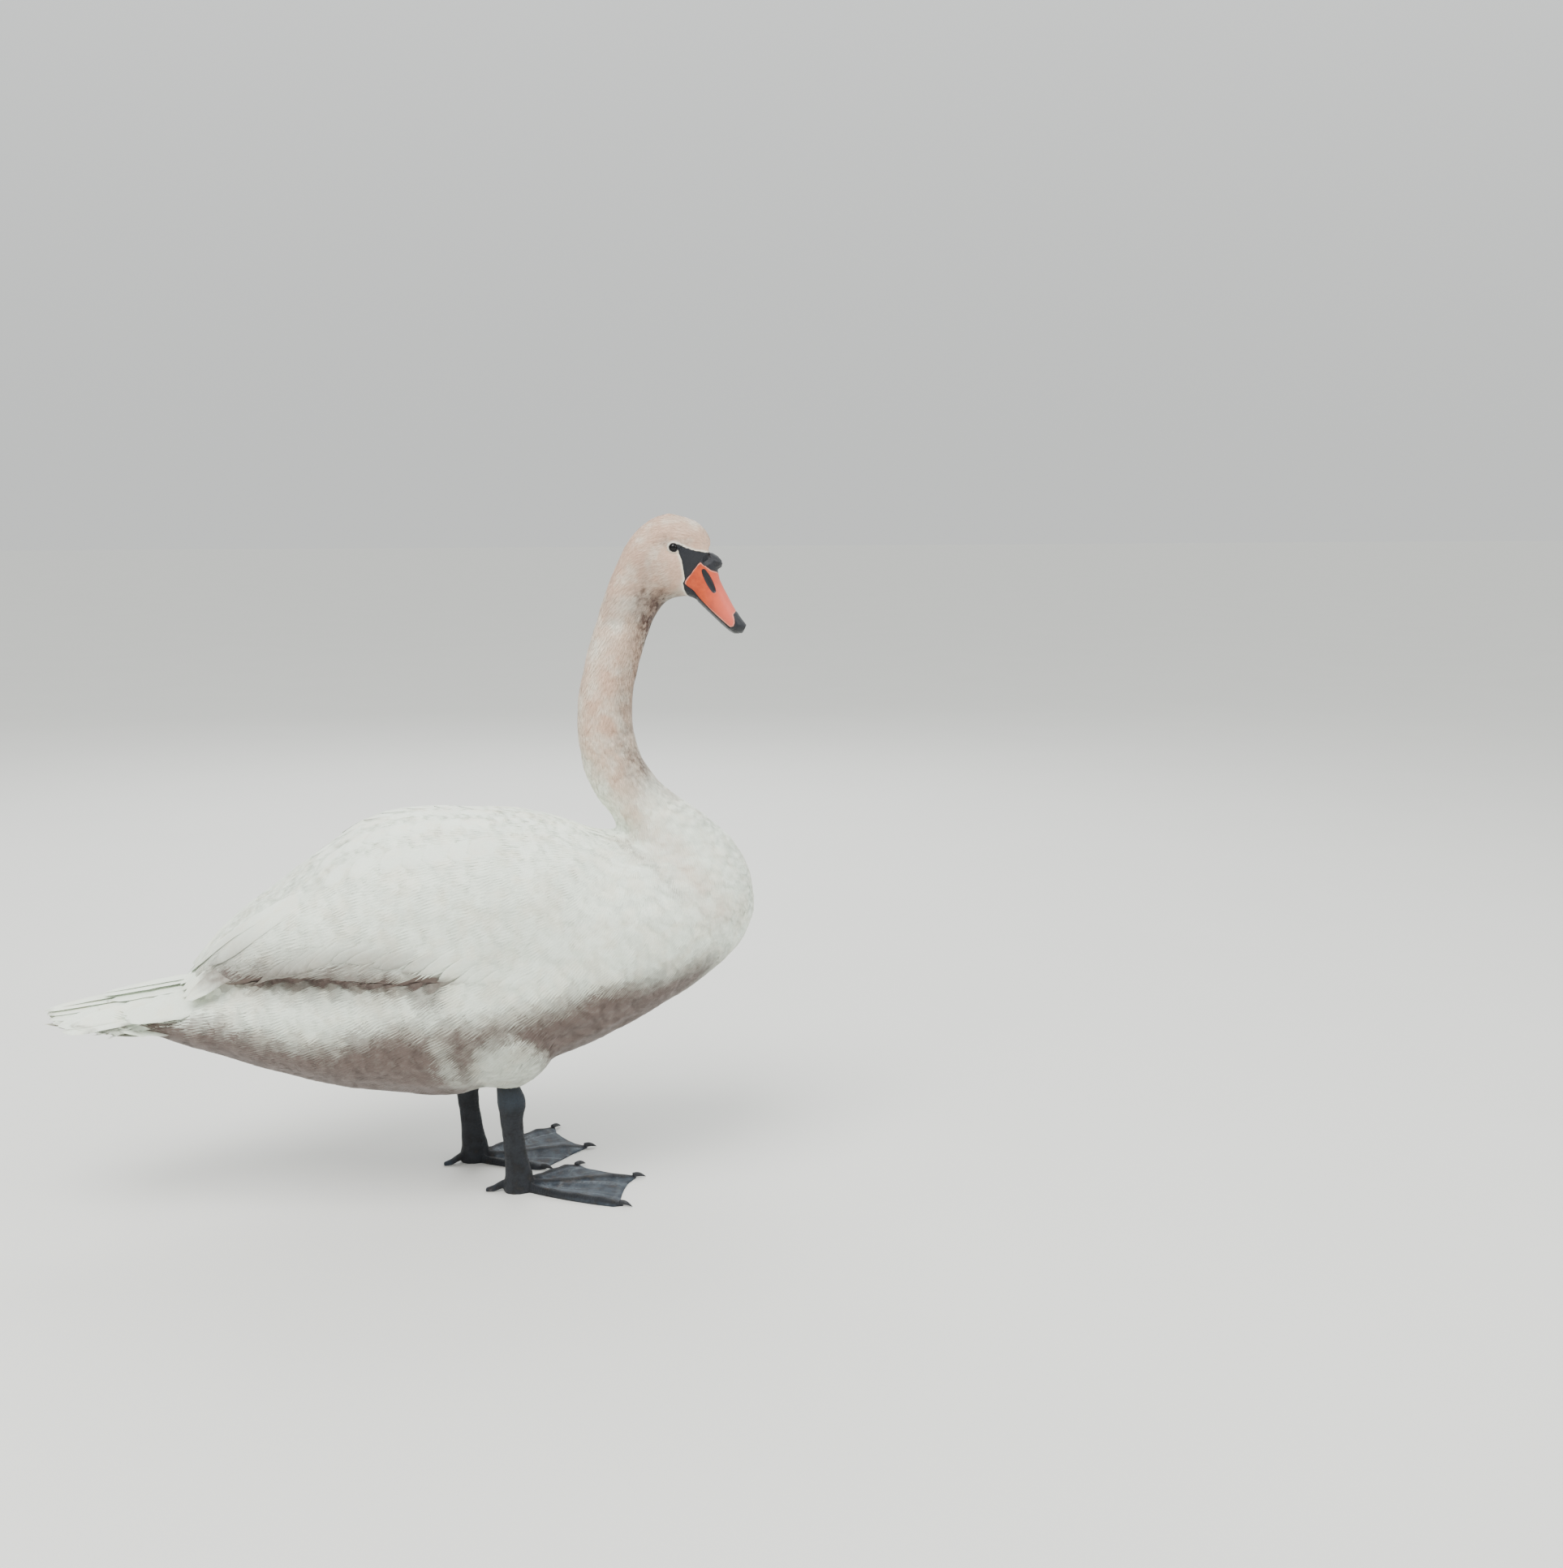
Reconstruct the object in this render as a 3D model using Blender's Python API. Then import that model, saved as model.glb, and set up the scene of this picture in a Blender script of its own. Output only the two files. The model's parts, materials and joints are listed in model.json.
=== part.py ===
"""Mute swan, adult male, standing: a still life-size model in solids.

Metres, +Z up, +X towards the head, +Y towards the bird's left.
The profile sizes are laid out from a point on the floor midway between the two heels.
The last step moves the whole bird so that the origin is the middle of its base.
"""

import math

import bmesh
import bpy
import numpy as np
from mathutils import Matrix, Vector

# ---------------------------------------------------------------- driving sizes

GAP = 0.0003            # clear space between two solids that meet
GROW = 0.0007           # how much a cutter is larger than the piece it makes room for
RING_SIDES = 24         # points round the body, neck and head
CLAW_SIDES = 6

HEAD_YAW = math.radians(-12.0)      # the head looks a little to the bird's right
HEAD_PIVOT_X = 0.175                # the neck twists about this upright line

# One row per section from the tail root, along the trunk, up the neck to the bill tip.
# A section spans from an upper point to a lower point of the profile.
# Each row: upper (x, z), lower (x, z), half width, fullness (above 0 is widest high up).
TRUNK_ROWS = [
    ((-0.420, 0.257), (-0.415, 0.230), 0.046, 0.1),
    ((-0.360, 0.266), (-0.366, 0.208), 0.066, 0.1),
    ((-0.285, 0.310), (-0.305, 0.184), 0.094, 0.0),
    ((-0.200, 0.383), (-0.215, 0.150), 0.117, -0.12),
    ((-0.115, 0.432), (-0.125, 0.130), 0.130, -0.15),
    ((-0.035, 0.448), (-0.045, 0.120), 0.136, -0.15),
    ((0.035, 0.446), (0.040, 0.150), 0.140, -0.10),
    ((0.095, 0.445), (0.115, 0.172), 0.140, -0.05),
]
BREAST_ROWS = [
    ((0.137, 0.4375), (0.195, 0.209), 0.134, 0.0),
    ((0.158, 0.4335), (0.262, 0.247), 0.121, 0.0),
    ((0.165, 0.433), (0.317, 0.295), 0.103, 0.0),
    ((0.165, 0.436), (0.331, 0.350), 0.084, 0.0),
    ((0.159, 0.443), (0.316, 0.402), 0.066, 0.0),
    ((0.149, 0.456), (0.272, 0.451), 0.050, 0.0),
]
NECK_ROWS = [
    ((0.133, 0.480), (0.223, 0.487), 0.0415, 0.0),
    ((0.1185, 0.512), (0.194, 0.522), 0.0370, 0.0),
    ((0.1105, 0.560), (0.1815, 0.564), 0.0345, 0.0),
    ((0.1125, 0.608), (0.181, 0.605), 0.0330, 0.0),
    ((0.1235, 0.656), (0.191, 0.649), 0.0320, 0.0),
    ((0.1385, 0.705), (0.204, 0.688), 0.0310, 0.0),
    ((0.1515, 0.742), (0.2145, 0.708), 0.0315, 0.0),
]
HEAD_ROWS = [
    ((0.1640, 0.771), (0.2235, 0.7195), 0.0325, -0.05),
    ((0.1775, 0.796), (0.2290, 0.7225), 0.0335, -0.15),
    ((0.1970, 0.816), (0.2340, 0.7240), 0.0335, -0.22),
    ((0.2220, 0.8275), (0.2400, 0.7245), 0.0325, -0.22),
    ((0.2450, 0.8240), (0.2465, 0.7250), 0.0295, -0.12),
    ((0.2665, 0.8140), (0.2520, 0.7260), 0.0250, 0.0),
]
BILL_ROWS = [
    ((0.2800, 0.7930), (0.2560, 0.7245), 0.0210, 0.0),
    ((0.2845, 0.7680), (0.2600, 0.7210), 0.0187, 0.0),
    ((0.2875, 0.7480), (0.2670, 0.7140), 0.0178, 0.0),
    ((0.2960, 0.7300), (0.2790, 0.7025), 0.0172, 0.0),
    ((0.3060, 0.7110), (0.2935, 0.6890), 0.0167, 0.0),
    ((0.3145, 0.6980), (0.3055, 0.6805), 0.0145, 0.0),
    ((0.3200, 0.6910), (0.3150, 0.6815), 0.0080, 0.0),
]
ROWS = TRUNK_ROWS + BREAST_ROWS + NECK_ROWS + HEAD_ROWS + BILL_ROWS

TRUNK_END = len(TRUNK_ROWS) - 0.5
BREAST_END = len(TRUNK_ROWS) + len(BREAST_ROWS) - 0.2
NECK_START = len(TRUNK_ROWS) + len(BREAST_ROWS)
NECK_CUTS = (NECK_START + 2.0, NECK_START + 4.2)
HEAD_START = NECK_START + len(NECK_ROWS)
HEAD_CUT = HEAD_START + 0.2
LAST_ROW = len(ROWS) - 1
ROOM_START = -0.03                 # the trunk's cutter starts just behind the first row
YAW_SPAN = (HEAD_START - 3.0, HEAD_START + 1.0)     # rows over which the neck twists

# Bill and face, in profile (x, z) before the head's turn.
GAPE = (0.2430, 0.7440)             # rear corner of the mouth
BILL_BASE_TOP = (0.3000, 0.8170)    # on the line from the gape past the forehead
CHIN_EDGE = (0.2575, 0.7262)
MOUTH_LINE = [GAPE, (0.2625, 0.7255), (0.2830, 0.7040), (0.3000, 0.6885), (0.3150, 0.6800)]
NAIL_LINE = [(0.3180, 0.7000), (0.3085, 0.6985), (0.3060, 0.6900), (0.3090, 0.6750)]
FRONT_X = 0.345                     # the bill's cutters end beyond the bill, here
BACK_X = 0.235
LOW_Z = 0.655
KNOB_CENTRE = (0.2800, 0.7735)
KNOB_RADII = (0.0165, 0.0125, 0.0108)       # along the forehead, across, outwards
KNOB_TILT = math.radians(66.0)
EYE_PLACE = (0.2330, 0.7860)
EYE_RADIUS = 0.0072
EYE_DEPTH = 0.0243                  # eyeball centre from the head's middle plane

# Folded wing: x, top z, half width, widest z, lower edge z.
WING_ROWS = [
    (0.122, 0.4455, 0.098, 0.376, 0.335),
    (0.085, 0.4570, 0.127, 0.362, 0.318),
    (0.040, 0.4665, 0.1395, 0.355, 0.304),
    (-0.020, 0.4715, 0.1450, 0.350, 0.298),
    (-0.080, 0.4735, 0.1465, 0.350, 0.296),
    (-0.140, 0.4645, 0.1430, 0.350, 0.296),
    (-0.200, 0.4250, 0.1330, 0.345, 0.302),
    (-0.250, 0.3870, 0.1150, 0.335, 0.303),
    (-0.290, 0.3590, 0.0920, 0.320, 0.292),
    (-0.320, 0.3330, 0.0650, 0.306, 0.284),
    (-0.345, 0.2990, 0.0370, 0.288, 0.277),
    (-0.362, 0.2790, 0.0140, 0.277, 0.272),
]
WING_LIP = 0.016                    # how far the lower edge tucks in under the wing
WING_TUCK = 0.03                    # how far the lower edge leans in, as a share of the width
WING_LIP_RISE = 0.043               # rise of the lip's inner side, as a share of the width
WING_HEART_RISE = 0.9               # how far up the wing's hidden inner side lies
WING_HEART_REACH = 0.35             # how far out that inner side begins
WING_MIDDLE_GAPS = 0.6              # each wing's distance from the middle plane, in gaps
WING_RINGS = 18                     # sections from the wing's front to its tip
WING_ARC = 7                        # points over the wing's outer curve
WING_SPREAD = 2.35                  # squareness of the back's cross-section

# Tail: x, half width, middle z, droop of the sides, thickness.
TAIL_ROWS = [
    (-0.392, 0.053, 0.252, 0.010, 0.027),
    (-0.425, 0.057, 0.250, 0.013, 0.022),
    (-0.455, 0.056, 0.251, 0.014, 0.017),
    (-0.485, 0.045, 0.252, 0.011, 0.012),
    (-0.507, 0.027, 0.252, 0.006, 0.008),
    (-0.519, 0.009, 0.251, 0.002, 0.004),
]
TAIL_SIDES = 14

# Thigh: z, x of the middle, half length, distance from the middle plane, half width.
THIGH_ROWS = [
    (0.250, 0.010, 0.056, 0.094, 0.040),
    (0.205, 0.010, 0.058, 0.088, 0.043),
    (0.170, 0.011, 0.050, 0.077, 0.037),
    (0.150, 0.011, 0.035, 0.065, 0.027),
    (0.1365, 0.0105, 0.0200, 0.057, 0.0175),
]
LEG_TOP = 0.1360
# Bare leg: z, x of the middle, half length, half width.
LEG_ROWS = [
    (LEG_TOP, 0.0105, 0.0135, 0.0105),
    (0.1220, 0.0135, 0.0165, 0.0118),
    (0.1080, 0.0150, 0.0165, 0.0112),
    (0.0920, 0.0140, 0.0135, 0.0088),
    (0.0620, 0.0165, 0.0130, 0.0080),
    (0.0380, 0.0190, 0.0145, 0.0090),
    (0.0220, 0.0210, 0.0165, 0.0115),
]
LEG_SIDES = 12
LEG_OFFSET = 0.056                  # bare leg from the middle plane
LEFT_LEG_SHIFT = -0.046             # the left leg stands this far behind the right one
LEFT_FOOT_TURN = 4.0                # degrees by which the left foot turns outwards

# Foot: seen from above, toes spread from the heel.
HEEL_X = 0.018
HEEL_TOP = LEG_ROWS[-1][0] - GAP
# Heel joint under the bare leg: z, half length, half width.
HEEL_ROWS = [
    (0.0, 0.0180, 0.0125),
    (0.0080, 0.0195, 0.0140),
    (HEEL_TOP, *LEG_ROWS[-1][2:]),
]
# Short hind toe, its tip flat on the floor: x behind the leg's middle, towards the middle plane, z, radius.
HALLUX_ROWS = [
    (0.008, 0.003, 0.0120, 0.0055),
    (0.020, 0.005, 0.0085, 0.0050),
    (0.031, 0.007, 0.0030, 0.0042),
    (0.040, 0.008, 0.0018, 0.0030),
]
HALLUX_SIDES = 8
HEEL_INSET = 0.004                  # the toes meet this much nearer the middle than the leg
WEB_ROOT_HEIGHT = 0.014             # height of the foot where the toes meet
TOE_ANGLES = (-34.0, 0.0, 33.0)     # outer, middle and inner toe, in degrees
TOE_LENGTHS = (0.146, 0.150, 0.100)
TOE_HEIGHT = 0.0085
TOE_SHARPNESS = 7.0                 # degrees over which a toe's ridge falls to the web
WEB_HEIGHT = 0.0032
TOE_BOW = 0.22                      # how much wider a toe sets out than it ends
TOE_EDGE = 3.0                      # degrees from an outer toe's line to the foot's side
WEB_SHARES = (0.10, 0.20, 0.32, 0.46, 0.62, 0.80, 1.0)      # rows of points, heel to edge
WEB_RAYS = 5                        # lines of points from one toe to the next
WEB_SCALLOP = 0.10                  # how far the web's edge curves in between two toes
WEB_EDGE_POWER = 0.5                # low values keep the web's edge flat between the toes
RIDGE_SPREAD = 0.25                 # how much a toe's ridge widens towards the heel
RIDGE_START, RIDGE_FALL = 1.15, 0.5     # a ridge's height at the heel and its loss on the way
ROOT_SHARE = 0.28                   # share of the foot over which its top falls from the heel
SIDE_REACH = 0.93                   # length of the foot's outermost line beside the toe's
SIDE_RISE = 0.55                    # height of that line beside the toe's
TIP_RISE = 0.45                     # height at the web's edge beside the height inside it
CLAW_LENGTH = 0.011
CLAW_RADIUS = 0.0030
CLAW_GAP = 0.0012                   # from the end of the toe to the claw
CLAW_STEPS = (0.0, 0.35, 0.7, 1.0)
CLAW_TAPER, CLAW_TAPER_POWER = 0.82, 1.6
CLAW_HEIGHT, CLAW_DROP, CLAW_DROP_POWER = 1.1, 0.8, 1.3     # in claw radii
THIGH_SIDES = 16

# ---------------------------------------------------------------- plain helpers


def material(name, colour, roughness, metallic=0.0):
    """One Principled material."""
    mat = bpy.data.materials.new(name)
    mat.use_nodes = True
    shader = mat.node_tree.nodes["Principled BSDF"]
    shader.inputs["Base Color"].default_value = (*colour, 1.0)
    shader.inputs["Roughness"].default_value = roughness
    shader.inputs["Metallic"].default_value = metallic
    return mat


def add_object(name, mesh_data, mat):
    """Link a bmesh into the scene as a smooth-shaded object, faces pointing out."""
    bmesh.ops.recalc_face_normals(mesh_data, faces=mesh_data.faces)
    mesh = bpy.data.meshes.new(name)
    mesh_data.to_mesh(mesh)
    mesh_data.free()
    mesh.shade_smooth()
    mesh.set_sharp_from_angle(angle=math.radians(40.0))
    if mat is not None:
        mesh.materials.append(mat)
    obj = bpy.data.objects.new(name, mesh)
    bpy.context.scene.collection.objects.link(obj)
    return obj


def as_cutter(obj):
    """Mark an object as a helper that is not part of the bird."""
    obj.hide_render = True
    obj.display_type = "WIRE"
    return obj


def cut(obj, cutter, operation="DIFFERENCE"):
    """Cut one object with another by an exact Boolean."""
    step = obj.modifiers.new(cutter.name, "BOOLEAN")
    step.operation = operation
    step.solver = "EXACT"
    step.object = cutter


def catmull(rows, place):
    """Smooth value of a table of rows at a fractional row number."""
    table = np.array(rows, dtype=float)
    last = len(table) - 1
    base = int(min(max(math.floor(place), 0), last - 1))
    part = place - base
    before = table[max(base - 1, 0)]
    start = table[base]
    end = table[base + 1]
    after = table[min(base + 2, last)]
    bend = 2 * before - 5 * start + 4 * end - after
    twist = 3 * start - before - 3 * end + after
    return start + 0.5 * part * (end - before + part * (bend + part * twist))


def loft(rings):
    """Closed bmesh through a list of rings with equal point counts, capped flat."""
    mesh_data = bmesh.new()
    loops = [[mesh_data.verts.new(point) for point in ring] for ring in rings]
    count = len(loops[0])
    for lower, upper in zip(loops, loops[1:]):
        for i in range(count):
            j = (i + 1) % count
            mesh_data.faces.new((lower[i], lower[j], upper[j]))
            mesh_data.faces.new((lower[i], upper[j], upper[i]))
    mesh_data.faces.new(loops[0])
    mesh_data.faces.new(list(reversed(loops[-1])))
    return mesh_data


def prism(name, profile, half_depth=0.08):
    """Cutter with a profile in (x, z), run across the head and turned with it."""
    rings = []
    for y in (-half_depth, half_depth):
        ring = [turned(Vector((x, y, z)), HEAD_YAW) for x, z in profile]
        rings.append(ring)
    return as_cutter(add_object(name, loft(rings), None))


def ellipsoid(name, centre, radii, turn, mat, sides=14, levels=8):
    """Closed round body with poles along its first radius."""
    rings = []
    for level in range(1, levels):
        along = math.pi * level / levels
        ring = []
        for side in range(sides):
            around = 2 * math.pi * side / sides
            local = Vector((
                radii[0] * math.cos(along),
                radii[1] * math.sin(along) * math.cos(around),
                radii[2] * math.sin(along) * math.sin(around),
            ))
            ring.append(centre + turn @ local)
        rings.append(ring)
    return add_object(name, loft(rings), mat)


# ---------------------------------------------------------------- trunk, neck and head


def turned(point, yaw):
    """Turn a point about the neck's upright twist line."""
    pivot = Vector((HEAD_PIVOT_X, 0.0, 0.0))
    return Matrix.Rotation(yaw, 3, "Z") @ (point - pivot) + pivot


def yaw_at(place):
    """Turn of the section at a fractional row number."""
    share = (place - YAW_SPAN[0]) / (YAW_SPAN[1] - YAW_SPAN[0])
    share = min(max(share, 0.0), 1.0)
    return HEAD_YAW * share * share * (3 - 2 * share)


def body_ring(place, grow=0.0):
    """Section of the trunk, neck or head at a fractional row number."""
    flat = [(*upper, *lower, width, full) for upper, lower, width, full in ROWS]
    top_x, top_z, low_x, low_z, half_width, fullness = catmull(flat, place)
    upper = Vector((top_x, 0.0, top_z))
    lower = Vector((low_x, 0.0, low_z))
    middle = (upper + lower) / 2
    half = (upper - lower) / 2
    half *= 1 + grow / half.length
    yaw = yaw_at(place)
    ring = []
    for i in range(RING_SIDES):
        angle = 2 * math.pi * i / RING_SIDES
        rise = -math.cos(angle)
        rise += fullness * (1 - rise * rise)
        side = Vector((0.0, (half_width + grow) * math.sin(angle), 0.0))
        ring.append(turned(middle + half * rise + side, yaw))
    return ring


def ring_places(start, end, rings_per_row):
    """Evenly spaced fractional row numbers from start to end."""
    count = max(2, round((end - start) * rings_per_row))
    return [start + (end - start) * i / count for i in range(count + 1)]


def row_gap(place):
    """Half of GAP as a share of a row, at a fractional row number."""
    step = 0.01
    near = sum(body_ring(place - step), Vector())
    far = sum(body_ring(place + step), Vector())
    length = (far - near).length / RING_SIDES / (2 * step)
    return GAP * 0.9 / length


def build_body(mats):
    """Trunk, breast, neck lengths and head, and a grown trunk that makes room in its neighbours."""
    cuts = [TRUNK_END, BREAST_END, *NECK_CUTS, HEAD_CUT]
    names = ["trunk", "breast", "neck_lower", "neck_middle", "neck_upper", "head"]
    starts = [0.0] + [c + row_gap(c) for c in cuts]
    ends = [c - row_gap(c) for c in cuts] + [LAST_ROW]
    parts = {}
    room = [body_ring(ROOM_START, GROW)]
    for name, start, end in zip(names, starts, ends):
        rate = 2.0 if name in ("trunk", "breast", "head") else 2.3
        mat = mats["feather"] if name in ("trunk", "breast") else mats["neck"]
        places = ring_places(start, end, rate)
        parts[name] = add_object(name, loft([body_ring(p) for p in places]), mat)
        if name in ("trunk", "breast", "neck_lower"):
            room += [body_ring(p, GROW) for p in places]
    trunk_room = as_cutter(add_object("guide_trunk_room", loft(room), None))
    return parts, trunk_room


def build_bill(parts, mats):
    """Split the bill off the head along its base, its mouth line and its nail."""
    base = [BILL_BASE_TOP, GAPE, CHIN_EDGE, (CHIN_EDGE[0], LOW_Z), (FRONT_X, LOW_Z)]
    base.append((FRONT_X, BILL_BASE_TOP[1]))
    below = [*MOUTH_LINE, (FRONT_X, MOUTH_LINE[-1][1]), (FRONT_X, LOW_Z)]
    below += [(BACK_X, LOW_Z), (BACK_X, GAPE[1])]
    nail = [*NAIL_LINE, (FRONT_X, NAIL_LINE[-1][1]), (FRONT_X, NAIL_LINE[0][1])]
    head = parts["head"]
    whole = head.data.copy()
    slots = {"bill_upper": "bill", "bill_lower": "bill_dark", "bill_nail": "bill_dark"}
    for name, slot in slots.items():
        obj = bpy.data.objects.new(name, whole.copy())
        obj.data.name = name
        obj.data.materials.clear()
        obj.data.materials.append(mats[slot])
        bpy.context.scene.collection.objects.link(obj)
        parts[name] = obj
    base_cut = prism("guide_bill_base", base)
    base_room = prism("guide_bill_room", moved_profile(base, GAP))
    mouth = prism("guide_mouth", below)
    mouth_room = prism("guide_mouth_room", moved_profile(below, GAP))
    nail_cut = prism("guide_nail", nail)
    nail_room = prism("guide_nail_room", moved_profile(nail, GAP))
    cut(head, base_room)
    for name in slots:
        cut(parts[name], base_cut, "INTERSECT")
    cut(parts["bill_upper"], mouth_room)
    cut(parts["bill_upper"], nail_room)
    cut(parts["bill_lower"], mouth, "INTERSECT")
    cut(parts["bill_nail"], mouth_room)
    cut(parts["bill_nail"], nail_cut, "INTERSECT")


def moved_profile(profile, distance):
    """A profile with every side moved outwards by a distance."""
    area = sum(a[0] * b[1] - b[0] * a[1] for a, b in zip(profile, profile[1:] + profile[:1]))
    side = 1.0 if area > 0 else -1.0
    moved = []
    count = len(profile)
    for i in range(count):
        here = Vector(profile[i])
        back = (here - Vector(profile[i - 1])).normalized()
        ahead = (Vector(profile[(i + 1) % count]) - here).normalized()
        out_back = Vector((back.y, -back.x)) * side
        out_ahead = Vector((ahead.y, -ahead.x)) * side
        bisector = (out_back + out_ahead).normalized()
        point = here + bisector * (distance / max(bisector.dot(out_back), 0.35))
        moved.append((point.x, point.y))
    return moved


def build_face(parts, mats):
    """Knob over the bill and the two eyeballs, each let into the head."""
    centre = turned(Vector((KNOB_CENTRE[0], 0.0, KNOB_CENTRE[1])), HEAD_YAW)
    turn = Matrix.Rotation(HEAD_YAW, 3, "Z") @ Matrix.Rotation(KNOB_TILT, 3, "Y")
    ellipsoid("bill_knob", centre, KNOB_RADII, turn, mats["bill_dark"])
    grown = [r + GROW for r in KNOB_RADII]
    room = as_cutter(ellipsoid("guide_knob_room", centre, grown, turn, None))
    cut(parts["head"], room)
    cut(parts["bill_upper"], room)
    for name, side in (("left", 1), ("right", -1)):
        place = Vector((EYE_PLACE[0], side * EYE_DEPTH, EYE_PLACE[1]))
        place = turned(place, HEAD_YAW)
        turn = Matrix.Rotation(HEAD_YAW + math.pi / 2, 3, "Z")
        ellipsoid("eye_" + name, place, (EYE_RADIUS,) * 3, turn, mats["eye"], 12, 7)
        room_radii = (EYE_RADIUS + GROW,) * 3
        room = ellipsoid("guide_eye_room_" + name, place, room_radii, turn, None, 12, 7)
        cut(parts["head"], as_cutter(room))


# ---------------------------------------------------------------- wings and tail


def wing_ring(row, side):
    """Section of one folded wing: outer curve, lower lip, then back inside the trunk."""
    x, top, width, widest, edge = catmull(WING_ROWS, row)
    ring = []
    start = GAP * WING_MIDDLE_GAPS
    for i in range(WING_ARC + 1):
        angle = math.pi / 2 * i / WING_ARC
        across = math.sin(angle) ** (2 / WING_SPREAD)
        rise = math.cos(angle) ** (2 / WING_SPREAD)
        ring.append((start + (width - start) * across, widest + (top - widest) * rise))
    for share in (0.5, 1.0):
        tuck = WING_TUCK * width * share * share
        ring.append((width - tuck, widest + (edge - widest) * share))
    lip = min(WING_LIP, 0.5 * width)
    foot = width * (1 - WING_TUCK)
    ring.append((foot - lip * 0.5, edge + 0.1 * WING_LIP_RISE * width))
    ring.append((foot - lip, edge + WING_LIP_RISE * width))
    heart = edge + (widest - edge) * WING_HEART_RISE
    ring.append((max(WING_HEART_REACH * width, start), heart))
    ring.append((start, heart))
    return [Vector((x, side * y, z)) for y, z in ring]


def build_wings(trunk_room, mats):
    """Two folded wings lying on the trunk."""
    places = np.linspace(0, len(WING_ROWS) - 1, WING_RINGS)
    for name, side in (("left", 1), ("right", -1)):
        rings = [wing_ring(place, side) for place in places]
        wing = add_object("wing_" + name, loft(rings), mats["feather"])
        cut(wing, trunk_room)


def build_tail(trunk_room, mats):
    """Wedge of tail feathers, arched across."""
    rings = []
    count = 2 * (len(TAIL_ROWS) - 1)
    for i in range(count + 1):
        x, width, middle, droop, thick = catmull(TAIL_ROWS, i / 2)
        ring = []
        for side in range(TAIL_SIDES):
            angle = 2 * math.pi * side / TAIL_SIDES
            y = width * math.cos(angle)
            fall = droop * math.cos(angle) ** 2
            ring.append(Vector((x, y, middle - fall + thick / 2 * math.sin(angle))))
        rings.append(ring)
    tail = add_object("tail", loft(rings), mats["feather"])
    cut(tail, trunk_room)


# ---------------------------------------------------------------- legs


def oval(x, y, z, half_length, half_width, sides):
    """Level oval ring."""
    ring = []
    for i in range(sides):
        angle = 2 * math.pi * i / sides
        ring.append(Vector((x + half_length * math.cos(angle), y + half_width * math.sin(angle), z)))
    return ring


def build_leg(name, side, shift, trunk_room, mats):
    """Feathered thigh, bare leg, webbed foot and claws of one side."""
    rings = []
    count = 2 * (len(THIGH_ROWS) - 1)
    for i in range(count + 1):
        z, x, half_length, y, half_width = catmull(THIGH_ROWS, i / 2)
        rings.append(oval(x + shift, side * y, z, half_length, half_width, THIGH_SIDES))
    thigh = add_object("thigh_" + name, loft(rings), mats["feather"])
    cut(thigh, trunk_room)
    rings = []
    count = 2 * (len(LEG_ROWS) - 1)
    for i in range(count + 1):
        z, x, half_length, half_width = catmull(LEG_ROWS, i / 2)
        rings.append(oval(x + shift, side * LEG_OFFSET, z, half_length, half_width, LEG_SIDES))
    leg = add_object("leg_" + name, loft(rings), mats["leg"])
    cut(leg, trunk_room)
    build_foot(name, side, shift, mats)


def foot_reach(angle):
    """Distance from the heel to the edge of the web at an angle in degrees."""
    outer, middle, inner = TOE_ANGLES
    if angle <= middle:
        share = (angle - outer) / (middle - outer)
        ends = TOE_LENGTHS[0], TOE_LENGTHS[1]
    else:
        share = (angle - middle) / (inner - middle)
        ends = TOE_LENGTHS[1], TOE_LENGTHS[2]
    straight = ends[0] + (ends[1] - ends[0]) * share
    return straight * (1 - WEB_SCALLOP * math.sin(math.pi * share) ** WEB_EDGE_POWER)


def foot_rise(angle, share):
    """Height of the foot's top at an angle and a share of the way out from the heel."""
    rise = WEB_HEIGHT
    for toe in TOE_ANGLES:
        ridge = math.exp(-(((angle - toe) / TOE_SHARPNESS) ** 2) * (RIDGE_SPREAD + share))
        ridge *= RIDGE_START - RIDGE_FALL * share
        rise = max(rise, WEB_HEIGHT + (TOE_HEIGHT - WEB_HEIGHT) * ridge)
    return rise + (WEB_ROOT_HEIGHT - WEB_HEIGHT) * max(0.0, 1 - share / ROOT_SHARE) ** 1.5


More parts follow.
